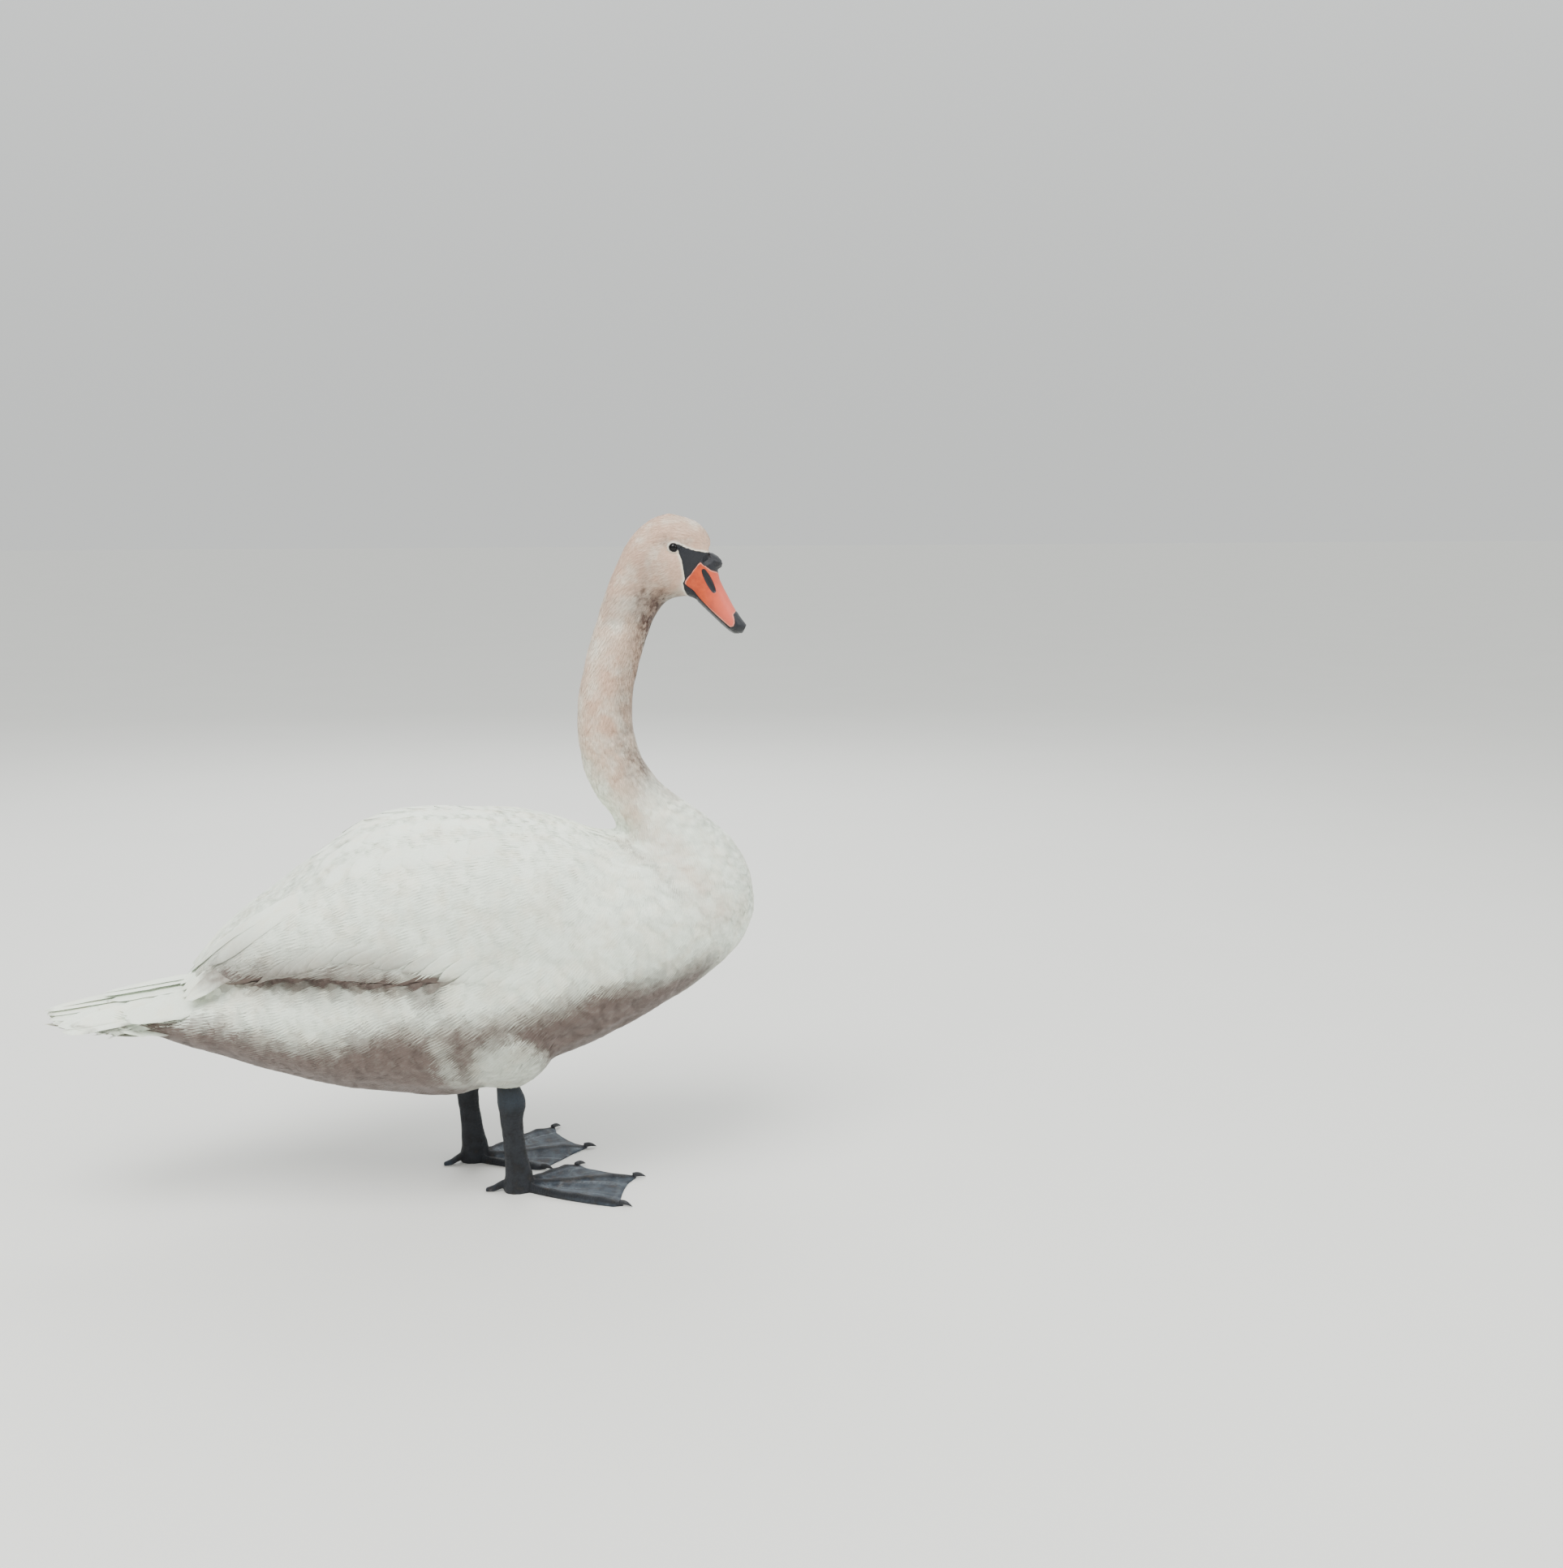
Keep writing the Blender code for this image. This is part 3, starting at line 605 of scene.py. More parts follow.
class Graph:
    """Adds and wires the nodes of one tree."""

    def __init__(self, tree: NodeTree) -> None:
        """Keep the tree that is being built."""
        self.tree = tree

    def feed(self, node: Node, ins: dict[Any, Any]) -> None:
        """Set inputs of a node.

        Args:
            node: The node.
            ins: Values or sockets, by the name or number of the input.
        """
        for key, value in ins.items():
            if isinstance(value, NodeSocket):
                self.tree.links.new(value, node.inputs[key])
            else:
                node.inputs[key].default_value = value

    def add(self, kind: str, ins: dict[Any, Any] | None = None, **settings: Any) -> Node:
        """Add a node.

        Args:
            kind: Type name of the node.
            ins: Values or sockets for its inputs, by name or number.
            **settings: Properties of the node.

        Returns:
            The new node.
        """
        node = self.tree.nodes.new(kind)
        for key, value in settings.items():
            setattr(node, key, value)
        self.feed(node, ins or {})
        return node

    def out(self, kind: str, ins: dict[Any, Any] | None = None, **settings: Any) -> NodeSocket:
        """Add a node and give its first output."""
        return self.add(kind, ins, **settings).outputs[0]

    def place(self) -> NodeSocket:
        """Place on the surface, in the object's own axes."""
        return self.add("ShaderNodeTexCoord").outputs["Object"]

    def math(self, operation: str, *values: Any) -> NodeSocket:
        """Arithmetic on up to three numbers."""
        return self.out("ShaderNodeMath", dict(enumerate(values)), operation=operation)

    def times(self, first: Any, second: Any) -> NodeSocket:
        """Product of two numbers."""
        return self.math("MULTIPLY", first, second)

    def plus(self, first: Any, second: Any) -> NodeSocket:
        """Sum of two numbers."""
        return self.math("ADD", first, second)

    def same(self, value: Any, kind: str = "ShaderNodeCombineXYZ") -> NodeSocket:
        """Vector or colour with the same number three times."""
        return self.out(kind, {part: value for part in range(3)})

    def vector(self, operation: str, *values: Any) -> NodeSocket:
        """Arithmetic on vectors.

        Args:
            operation: Name of the operation.
            *values: Values or sockets to work on.

        Returns:
            The result, which is a number for lengths, distances and dot products.
        """
        node = self.add("ShaderNodeVectorMath", dict(enumerate(values)), operation=operation)
        single = operation in ("LENGTH", "DOT_PRODUCT", "DISTANCE")
        return node.outputs["Value" if single else "Vector"]

    def blend(self, share: Any, first: Any, second: Any, mode: str = "MIX") -> NodeSocket:
        """Colour between two colours."""
        ins = {"Factor": share, 6: first, 7: second}
        return self.add("ShaderNodeMix", ins, data_type="RGBA", blend_type=mode).outputs[2]

    def between(self, share: Any, first: Any, second: Any) -> NodeSocket:
        """Vector between two vectors."""
        ins = {"Factor": share, 4: first, 5: second}
        return self.add("ShaderNodeMix", ins, data_type="VECTOR").outputs[1]

    def ranged(
        self, value: Any, low: float, high: float, start: float = 0.0, end: float = 1.0
    ) -> NodeSocket:
        """Smooth step of a number between two limits."""
        ins = {0: value, 1: low, 2: high, 3: start, 4: end}
        return self.out("ShaderNodeMapRange", ins, interpolation_type="SMOOTHSTEP")

    def attribute(self, name: str, part: str = "Fac") -> NodeSocket:
        """Value of a named attribute of the surface."""
        return self.add("ShaderNodeAttribute", attribute_name=name).outputs[part]

    def noise(self, vector: Any, scale: float, detail: float = 2.0, rough: float = 0.5) -> NodeSocket:
        """Soft noise from 0 to 1."""
        ins = {"Vector": vector, "Scale": scale, "Detail": detail, "Roughness": rough}
        return self.out("ShaderNodeTexNoise", ins)

    def group(self, tree: NodeTree, ins: dict[str, Any]) -> Node:
        """Place a shared group in this tree."""
        return self.add("ShaderNodeGroup", ins, node_tree=tree)

    def bump(self, height: Any, distance: float) -> NodeSocket:
        """Normal of a bumpy surface."""
        return self.out("ShaderNodeBump", {"Height": height, "Distance": distance, "Strength": 1.0})


def add_sockets(tree: NodeTree, inputs: dict[str, str], outputs: dict[str, str]) -> None:
    """Give a node group its named sockets.

    Args:
        tree: The group.
        inputs: Socket types by input name.
        outputs: Socket types by output name.
    """
    for label, kind in inputs.items():
        tree.interface.new_socket(name=label, in_out="INPUT", socket_type=kind)
    for label, kind in outputs.items():
        tree.interface.new_socket(name=label, in_out="OUTPUT", socket_type=kind)


def group_tree(
    name: str, inputs: dict[str, str], outputs: dict[str, str]
) -> tuple[Graph, dict[str, Any], Node]:
    """Start a shader group with named sockets.

    Args:
        name: Name of the group.
        inputs: Socket types by input name.
        outputs: Socket types by output name.

    Returns:
        The graph, the inner sockets of the inputs, and the group's output node.
    """
    tree = bpy.data.node_groups.new(name, "ShaderNodeTree")
    add_sockets(tree, inputs, outputs)
    graph = Graph(tree)
    start = tree.nodes.new("NodeGroupInput")
    end = tree.nodes.new("NodeGroupOutput")
    return graph, {label: start.outputs[label] for label in inputs}, end


FLOAT = "NodeSocketFloat"
COLOR = "NodeSocketColor"
VECTOR = "NodeSocketVector"
Colour = tuple[float, float, float, float]


def tone(red: float, green: float, blue: float) -> Colour:
    """Linear colour from display values.

    Args:
        red: Red between 0 and 255.
        green: Green between 0 and 255.
        blue: Blue between 0 and 255.

    Returns:
        The colour, opaque.
    """
    parts = [v / 255 for v in (red, green, blue)]
    lin = [p / 12.92 if p <= 0.04045 else ((p + 0.055) / 1.055) ** 2.4 for p in parts]
    return (lin[0], lin[1], lin[2], 1.0)


# ---------------------------------------------------------------- shared effects


@dataclass(frozen=True)
class PlumageTones:
    """Colours of the plumage; the mauve tone serves both as a belly stain and as painted shade under the
    body and in creases.
    """

    white: Colour = tone(235, 243, 229)
    cream: Colour = tone(236, 232, 211)
    buff: Colour = tone(204, 171, 148)
    brown: Colour = tone(84, 60, 50)
    mauve: Colour = tone(105, 91, 85)


def plumage_group(tones: PlumageTones) -> NodeTree:
    """Plumage colour from the marks on the skin, painted shade among them, with small mottles.

    Args:
        tones: Colours to mix.

    Returns:
        The shader group.
    """
    marks = {"Buff": FLOAT, "Brown": FLOAT, "Mauve": FLOAT, "Tint": FLOAT}
    graph, ins, end = group_tree("plumage", marks, {"Color": COLOR})
    place = graph.place()
    clouds = graph.noise(place, 42.0, 3.0)
    mottles = graph.noise(place, 150.0, 3.0, 0.6)
    specks = graph.noise(place, 520.0, 2.0)
    cream = graph.times(graph.ranged(clouds, 0.42, 0.68), 0.45)
    colour = graph.blend(cream, tones.white, tones.cream)
    buff = graph.times(ins["Buff"], graph.ranged(clouds, 0.20, 0.60, 0.55, 1.0))
    colour = graph.blend(buff, colour, tones.buff)
    wobble = graph.ranged(mottles, 0.34, 0.68, 0.55, 1.2)
    # Brown carries stains and, in places, painted shade.
    brown = graph.math("MINIMUM", graph.times(ins["Brown"], wobble), 1.0)
    colour = graph.blend(brown, colour, tones.brown)
    # Mauve is painted shade under the body and in creases, partly a belly stain.
    mauve = graph.times(ins["Mauve"], graph.ranged(mottles, 0.30, 0.70, 0.96, 1.06))
    colour = graph.blend(graph.math("MINIMUM", mauve, 1.0), colour, tones.mauve)
    change = graph.plus(graph.times(ins["Tint"], 0.09), graph.ranged(specks, 0.25, 0.75, 0.93, 1.0))
    shade = graph.same(change, "ShaderNodeCombineColor")
    graph.feed(end, {"Color": graph.blend(1.0, colour, shade, "MULTIPLY")})
    return graph.tree


def barb_group() -> NodeTree:
    """Fine streaks along a vane and the thin line of its shaft.

    Returns:
        The shader group, fed with the vane's own coordinates.
    """
    inputs = {"Vane": VECTOR, "Seed": FLOAT, "Count": FLOAT, "Slant": FLOAT}
    graph, ins, end = group_tree("barbs", inputs, {"Height": FLOAT, "Shade": FLOAT})
    parts = graph.add("ShaderNodeSeparateXYZ", {0: ins["Vane"]})
    across, along = parts.outputs[0], parts.outputs[1]
    aside = graph.math("ABSOLUTE", across)
    run = graph.math("SUBTRACT", graph.times(along, ins["Slant"]), aside)
    fan = graph.times(run, ins["Count"])
    place = graph.out("ShaderNodeCombineXYZ", {0: fan, 1: graph.times(across, 2.0), 2: ins["Seed"]})
    streaks = graph.noise(place, 1.0, 2.0, 0.55)
    shaft = graph.ranged(aside, 0.0, 0.05, 1.0, 0.0)
    height = graph.plus(streaks, graph.times(shaft, 0.6))
    graph.feed(end, {"Height": height, "Shade": graph.ranged(streaks, 0.25, 0.70, 0.90, 1.0)})
    return graph.tree


def scale_group() -> NodeTree:
    """Small rounded scales of bare skin.

    Returns:
        The shader group, which gives a height and a mask of the furrows.
    """
    outputs = {"Height": FLOAT, "Furrow": FLOAT}
    graph, ins, end = group_tree("scales", {"Size": FLOAT, "Stretch": VECTOR}, outputs)
    place = graph.place()
    stretched = graph.vector("MULTIPLY", place, ins["Stretch"])
    bent = graph.vector("ADD", stretched, graph.vector("SCALE", graph.noise(place, 90.0, 2.0)))
    cells = graph.add(
        "ShaderNodeTexVoronoi", {"Vector": bent, "Scale": ins["Size"]}, feature="DISTANCE_TO_EDGE"
    ).outputs["Distance"]
    furrow = graph.ranged(cells, 0.02, 0.12, 1.0, 0.0)
    graph.feed(end, {"Height": graph.ranged(cells, 0.0, 0.28), "Furrow": furrow})
    return graph.tree


class Effects:
    """Shared shader groups, each built once."""

    def __init__(self) -> None:
        """Build the groups."""
        self.plumage = plumage_group(PlumageTones())
        self.barbs = barb_group()
        self.scales = scale_group()


# ---------------------------------------------------------------- finishes


def start_material(name: str, gloss: dict[str, float]) -> tuple[Material, Graph, Node]:
    """New material with the constants of its shader set.

    Args:
        name: Name of the material.
        gloss: Constant inputs of the shader.

    Returns:
        The material, its graph and its shader node.
    """
    finish = bpy.data.materials.new(name)
    finish.use_nodes = True
    shader = finish.node_tree.nodes["Principled BSDF"]
    for key, value in gloss.items():
        shader.inputs[key].default_value = value
    return finish, Graph(finish.node_tree), shader


def marked_colour(graph: Graph, effects: Effects, tint: Any) -> NodeSocket:
    """Plumage colour from the marks and painted shade that a surface carries.

    Args:
        graph: Graph of the material.
        effects: Shared shader groups.
        tint: Lightness of each feather.

    Returns:
        The colour.
    """
    ins = {label: graph.attribute(label.lower()) for label in ("Buff", "Brown", "Mauve")}
    return graph.group(effects.plumage, {**ins, "Tint": tint}).outputs[0]


@dataclass(frozen=True)
class PlumeFinish:
    """Feathers: marked colour, barb streaks and a soft sheen."""

    name: str
    streaks: float = 40.0
    slant: float = 0.4
    relief: float = 0.00012

    def make(self, effects: Effects) -> Material:
        """Build the material.

        Args:
            effects: Shared shader groups.

        Returns:
            The material.
        """
        gloss = {
            "Roughness": 0.75, "Sheen Weight": 0.25, "Sheen Roughness": 0.45, "Specular IOR Level": 0.25,
        }
        finish, graph, shader = start_material(self.name, gloss)
        seed = graph.attribute("tint")
        colour = marked_colour(graph, effects, seed)
        barbs = graph.group(effects.barbs, {
            "Vane": graph.attribute("vane", "Vector"), "Seed": graph.times(seed, 50.0),
            "Count": self.streaks, "Slant": self.slant,
        })
        shade = graph.same(barbs.outputs["Shade"], "ShaderNodeCombineColor")
        graph.feed(shader, {
            "Base Color": graph.blend(0.6, colour, shade, "MULTIPLY"),
            "Normal": graph.bump(barbs.outputs["Height"], self.relief),
        })
        return finish


@dataclass(frozen=True)
class SkinFinish:
    """Skin under the feathers, and the bare black leather before the eyes."""

    name: str = "skin"
    leather: Colour = tone(28, 31, 39)
    crack: Colour = tone(18, 19, 23)

    def make(self, effects: Effects) -> Material:
        """Build the material.

        Args:
            effects: Shared shader groups.

        Returns:
            The material.
        """
        finish, graph, shader = start_material(self.name, {"Specular IOR Level": 0.4})
        colour = marked_colour(graph, effects, 0.0)
        bare = graph.ranged(graph.attribute("bare"), -0.0003, 0.0004)
        scales = graph.group(effects.scales, {"Size": 900.0, "Stretch": (1.0, 1.0, 1.0)})
        furrows = graph.blend(graph.times(scales.outputs["Furrow"], 0.5), self.leather, self.crack)
        graph.feed(shader, {
            "Base Color": graph.blend(bare, colour, furrows),
            "Roughness": graph.math("SUBTRACT", 0.85, graph.times(bare, 0.42)),
            "Normal": graph.bump(graph.times(scales.outputs["Height"], bare), 0.0002),
        })
        return finish


@dataclass(frozen=True)
class BillFinish:
    """Horn of the bill: an orange plate within black edges, fading pink to the tip."""

    name: str = "bill_horn"
    orange: Colour = tone(202, 72, 16)
    deep: Colour = tone(178, 56, 10)
    pink: Colour = tone(218, 98, 80)
    pale: Colour = tone(236, 172, 150)
    black: Colour = tone(17, 19, 27)

    def make(self, effects: Effects) -> Material:
        """Build the material.

        Args:
            effects: Shared shader groups.

        Returns:
            The material.
        """
        gloss = {"Specular IOR Level": 0.4, "Coat Weight": 0.18, "Coat Roughness": 0.2}
        finish, graph, shader = start_material(self.name, gloss)
        place = graph.place()
        fine = graph.noise(place, 700.0, 3.0, 0.6)
        broad = graph.noise(place, 110.0, 3.0, 0.55)
        inside = graph.attribute("orange")
        ragged = graph.plus(inside, graph.times(graph.math("SUBTRACT", fine, 0.5), 0.0009))
        tip = graph.attribute("tip")
        colour = graph.blend(graph.ranged(broad, 0.35, 0.70), self.orange, self.deep)
        colour = graph.blend(graph.times(tip, 0.85), colour, self.pink)
        edge = graph.times(graph.ranged(ragged, 0.0003, 0.0020, 1.0, 0.0), 0.55)
        colour = graph.blend(edge, colour, self.pale)
        colour = graph.blend(graph.ranged(ragged, -0.0002, 0.0004), self.black, colour)
        colour = graph.blend(graph.ranged(graph.attribute("slot"), -0.10, 0.10), colour, self.black)
        scales = graph.group(effects.scales, {"Size": 520.0, "Stretch": (1.0, 1.0, 0.35)})
        height = graph.plus(fine, graph.times(scales.outputs["Height"], 0.35))
        graph.feed(shader, {
            "Base Color": colour,
            "Roughness": graph.ranged(fine, 0.3, 0.7, 0.36, 0.48),
            "Normal": graph.bump(height, 0.00009),
        })
        return finish


@dataclass(frozen=True)
class HornFinish:
    """Black glossy horn with fine wrinkles."""

    name: str
    dark: Colour = tone(20, 22, 28)
    worn: Colour = tone(52, 54, 62)
    rough: float = 0.3
    grain: float = 260.0

    def make(self, effects: Effects) -> Material:
        """Build the material.

        Args:
            effects: Shared shader groups.

        Returns:
            The material.
        """
        gloss = {"Specular IOR Level": 0.5, "Coat Weight": 0.25, "Coat Roughness": 0.2}
        finish, graph, shader = start_material(self.name, gloss)
        grain = graph.noise(graph.place(), self.grain, 4.0, 0.6)
        scales = graph.group(effects.scales, {"Size": self.grain * 1.4, "Stretch": (1.0, 1.0, 0.7)})
        height = graph.plus(grain, graph.times(scales.outputs["Height"], 0.5))
        graph.feed(shader, {
            "Base Color": graph.blend(graph.ranged(grain, 0.45, 0.75), self.dark, self.worn),
            "Roughness": graph.ranged(grain, 0.3, 0.7, self.rough, self.rough + 0.15),
            "Normal": graph.bump(height, 0.0003),
        })
        return finish


@dataclass(frozen=True)
class EyeFinish:
    """Dark brown iris round a black pupil, under a wet gloss."""

    name: str = "eye"
    pupil: Colour = tone(4, 4, 5)
    iris: Colour = tone(30, 22, 15)
    rim: Colour = tone(12, 10, 9)

    def make(self, effects: Effects) -> Material:
        """Build the material.

        Args:
            effects: Shared shader groups, which it does without.

        Returns:
            The material.
        """
        gloss = {
            "Roughness": 0.14, "Specular IOR Level": 0.12, "Coat Weight": 0.3, "Coat Roughness": 0.02,
        }
        finish, graph, shader = start_material(self.name, gloss)
        rays = graph.noise(graph.place(), 1500.0, 3.0)
        gaze = graph.attribute("gaze")
        iris = graph.blend(graph.ranged(rays, 0.3, 0.7), self.iris, self.rim)
        colour = graph.blend(graph.ranged(gaze, 0.58, 0.66), iris, self.rim)
        colour = graph.blend(graph.ranged(gaze, 0.30, 0.34, 1.0, 0.0), colour, self.pupil)
        graph.feed(shader, {"Base Color": colour})
        return finish


@dataclass(frozen=True)
class LegFinish:
    """Slate scaly legs and blue-grey webs, with pale streaks and painted highlights on the web's wrinkles.
    """

    name: str = "leg_skin"
    slate: Colour = tone(44, 48, 56)
    dark: Colour = tone(20, 22, 27)
    web: Colour = tone(70, 84, 98)
    pale: Colour = tone(150, 160, 168)
    mud: Colour = tone(92, 82, 74)

    def make(self, effects: Effects) -> Material:
        """Build the material.

        Args:
            effects: Shared shader groups.

        Returns:
            The material.
        """
        finish, graph, shader = start_material(self.name, {"Specular IOR Level": 0.45})
        place = graph.place()
        broad = graph.noise(place, 70.0, 3.0, 0.6)
        fine = graph.noise(place, 420.0, 3.0, 0.6)
        scales = graph.group(effects.scales, {"Size": 300.0, "Stretch": (1.0, 1.0, 0.8)})
        slate = graph.blend(graph.ranged(broad, 0.35, 0.7), self.slate, self.dark)
        skin = graph.blend(graph.ranged(broad, 0.35, 0.68), self.web, self.slate)
        ankle = graph.times(graph.attribute("knuckle"), graph.ranged(fine, 0.30, 0.65, 0.25, 0.75))
        slate = graph.blend(ankle, slate, self.web)
        colour = graph.blend(graph.attribute("web"), slate, skin)
        # Painted highlight: pale streaks on the web's wrinkles.
        crease = graph.times(graph.attribute("crease"), graph.ranged(fine, 0.35, 0.6))
        colour = graph.blend(graph.times(crease, 0.8), colour, self.pale)
        colour = graph.blend(graph.times(scales.outputs["Furrow"], 0.55), colour, self.dark)
        dust = graph.times(graph.ranged(broad, 0.55, 0.75), graph.attribute("low"))
        colour = graph.blend(graph.times(dust, 0.5), colour, self.mud)
        height = graph.plus(scales.outputs["Height"], graph.times(fine, 0.7))
        graph.feed(shader, {
            "Base Color": colour,
            "Roughness": graph.ranged(fine, 0.3, 0.7, 0.42, 0.62),
            "Normal": graph.bump(height, 0.0004),
        })
        return finish


@dataclass(frozen=True)
class FloorFinish:
    """Pale matt floor."""

    name: str = "studio_floor"
    base: Colour = tone(214, 214, 210)
    light: Colour = tone(218, 218, 214)

    def make(self, effects: Effects) -> Material:
        """Build the material.

        Args:
            effects: Shared shader groups, which it does without.

        Returns:
            The material.
        """
        finish, graph, shader = start_material(self.name, {"Roughness": 0.8, "Specular IOR Level": 0.2})
        place = graph.place()
        graph.feed(shader, {
            "Base Color": graph.blend(graph.noise(place, 3.0, 3.0), self.base, self.light),
            "Normal": graph.bump(graph.noise(place, 240.0, 2.0), 0.0002),
        })
        return finish


# ---------------------------------------------------------------- skin


@dataclass(frozen=True)
class MarkPlan:
    """Lines of the plumage's marks and of its painted shade in the body's side plane, x forwards and z up.

    The throat's line is given by height and length, and the others by length and height.
    """

    throat: Profile = (
        (0.45, 0.175), (0.56, 0.147), (0.61, 0.149), (0.66, 0.164), (0.72, 0.186), (0.76, 0.206),
    )
    trail: Profile = (
        (0.137, 0.600), (0.140, 0.550), (0.149, 0.522), (0.164, 0.492), (0.186, 0.452),
        (0.208, 0.438), (0.238, 0.400), (0.274, 0.358),
    )
    # Line of painted shade in the crease where the neck meets the breast.
    crease: Profile = ((0.162, 0.434), (0.188, 0.419), (0.205, 0.403), (0.221, 0.386))
    tuft: Profile = ((-0.050, 0.230), (-0.038, 0.170))
    # Upper edge of the painted shade under the body.
    underside_shade_line: Profile = (
        (-0.36, 0.246), (-0.33, 0.244), (-0.27, 0.234), (-0.21, 0.219), (-0.17, 0.219), (-0.14, 0.232),
        (-0.09, 0.240), (-0.06, 0.236), (-0.03, 0.246), (0.00, 0.250), (0.035, 0.255), (0.07, 0.262),
        (0.10, 0.270), (0.13, 0.273), (0.20, 0.279), (0.235, 0.290), (0.265, 0.303),
    )
    # Groove under the wing's lower edge, which holds painted shade.
    groove: Profile = ((-0.12, 0.303), (-0.08, 0.294), (-0.055, 0.284), (-0.03, 0.276))
    head_low: float = 0.70
    blaze: float = 0.55

    def along(self, line: Profile, values: Array) -> Array:
        """Second number of a line's places where the first has the given values."""
        return np.interp(values, *zip(*line))


MARKS = MarkPlan()


@dataclass
class Skin:
    """One skin over all the flesh, which carries the feathers' lie, size, marks and painted shade.

    The coats are the depth of the plumage and the length of its feathers in each region.
    """

    voxel: float = 0.0044
    coarse_voxel: float = 0.015
    swell: float = 0.0004
    coats: dict[Region, Place] = field(default_factory=lambda: {
        Region.HEAD: (0.0013, 0.0080), Region.NECK: (0.0018, 0.0125), Region.THROAT: (0.0020, 0.018),
        Region.BREAST: (0.0024, 0.030), Region.TRUNK: (0.0028, 0.040), Region.WING: (0.0028, 0.042),
        Region.THIGH: (0.0036, 0.026), Region.TAIL: (0.0040, 0.040), Region.BILL: (0.0016, 0.005),
    })
    head_corners: tuple[Place, Place] = ((0.14, 0.690), (0.222, 0.712))
    head_ends: Place = (1.0, 0.300)
    eye_zone: float = 0.013
    ankle_pull: float = 0.82
    wing_pull: float = 1.5
    edge_height: float = 0.303
    bare_depth: float = 0.0004
    thin_share: float = 0.30
    lump_height: float = 0.0016
    neck_lumps: float = 0.0009
    lid_opening: float = 0.0046
    lid_reach: float = 0.0105
    lid_height: float = 0.0010
    lid_fall: float = 0.0008
    cap_gap: float = 0.0022
    mesh: Mesh | None = None
    points: Array = blank()
    regions: Array = blank(1)
    edges: Array = blank(2)

    def build(self, finish: Material) -> Object:
        """Make the skin.

        Args:
            finish: Material of the skin.

        Returns:
            The finished skin.
        """
        self.mesh = remeshed(merged_copy(NODE_REGION, self.swell), self.voxel)
        write_points(self.mesh, relaxed(read_points(self.mesh), read_edges(self.mesh), 5))
        self.refine()
        self.points = read_points(self.mesh)
        self.edges = read_edges(self.mesh)
        self.regions = self.classify()
        self.sink()
        self.soften()
        self.shape_lids()
        self.lay()
        self.mark()
        self.mesh.shade_smooth()
        return dressed("skin", self.mesh, finish)

    def moved(self, points: Array) -> None:
        """Put the skin's corners in new places."""
        self.points = points
        write_points(self.mesh, points)

    def refine(self) -> None:
        """Cut the faces of the head finer, and those round the eyes finer still."""
        work = bmesh.new()
        work.from_mesh(self.mesh)
        eye = np.array([FACE.eye[0], 0.0, FACE.eye[1]])
        for level in range(3):
            work.verts.ensure_lookup_table()
            face = FRAME.face(np.array([v.co for v in work.verts]))
            chosen = np.linalg.norm((face - eye)[:, (0, 2)], axis=1) < self.eye_zone
            if level < len(self.head_corners):
                back, low = self.head_corners[level]
                chosen = (face[:, 2] > low) & (face[:, 0] > back) & (face[:, 0] < self.head_ends[level])
            cuts = [e for e in work.edges if chosen[e.verts[0].index] and chosen[e.verts[1].index]]
            bmesh.ops.subdivide_edges(work, edges=cuts, cuts=1, use_grid_fill=True)
            bmesh.ops.triangulate(work, faces=[f for f in work.faces if len(f.verts) > 4])
        bmesh.ops.triangulate(work, faces=work.faces)
        bmesh.ops.recalc_face_normals(work, faces=work.faces)
        work.to_mesh(self.mesh)
        work.free()
        points = read_points(self.mesh)
        head = smooth(0.68, 0.70, FRAME.face(points)[:, 2])
        write_points(self.mesh, relaxed(points, read_edges(self.mesh), 6, 0.5, head))

    def classify(self) -> Array:
        """Find what each corner of the skin belongs to.

        Returns:
            Number of the region of the nearest frame node.
        """
        corners: list[Vector] = []
        faces: list[list[int]] = []
        owners: list[int] = []
        for name, region in NODE_REGION.items():
            data = FRAME.node(name).data
            start = len(corners)
            corners += [v.co.copy() for v in data.vertices]
            faces += [[start + i for i in p.vertices] for p in data.polygons]
            owners += [region.value] * len(data.polygons)
        tree = bvhtree.BVHTree.FromPolygons(corners, faces)
        return np.array([owners[tree.find_nearest(Vector(p))[2]] for p in self.points])

    def sink(self) -> None:
        """Draw the skin in by the depth of the coat, less where the body is thin."""
        normals = read_normals(self.mesh)
        depth = relaxed(self.coat()[0], self.edges, 12)
        bare = self.bare_distance()
        bill = self.regions == Region.BILL.value
        depth = np.where(bill & (bare < 0), self.coats[Region.HEAD][0], depth)
        depth = depth + (self.bare_depth - depth) * smooth(-0.001, 0.001, bare)
        ahead = line_distance(FRAME.face(self.points)[:, (0, 2)], Bill().base)
        under_bill = self.bare_depth + 0.0020 * smooth(0.0015, 0.0065, ahead)
        depth = np.where(bill & (bare > 0), under_bill, depth)
        tree = bvhtree.BVHTree.FromPolygons(
            [Vector(p) for p in self.points], [list(p.vertices) for p in self.mesh.polygons]
        )
        for i, (point, normal) in enumerate(zip(self.points, normals)):
            inward = -Vector(normal)
            hit = tree.ray_cast(Vector(point) + inward * 0.0005, inward, 0.03)
            if hit[3] is not None:
                depth[i] = min(depth[i], self.thin_share * hit[3])
        self.moved(self.points - normals * relaxed(depth, self.edges, 3)[:, None])

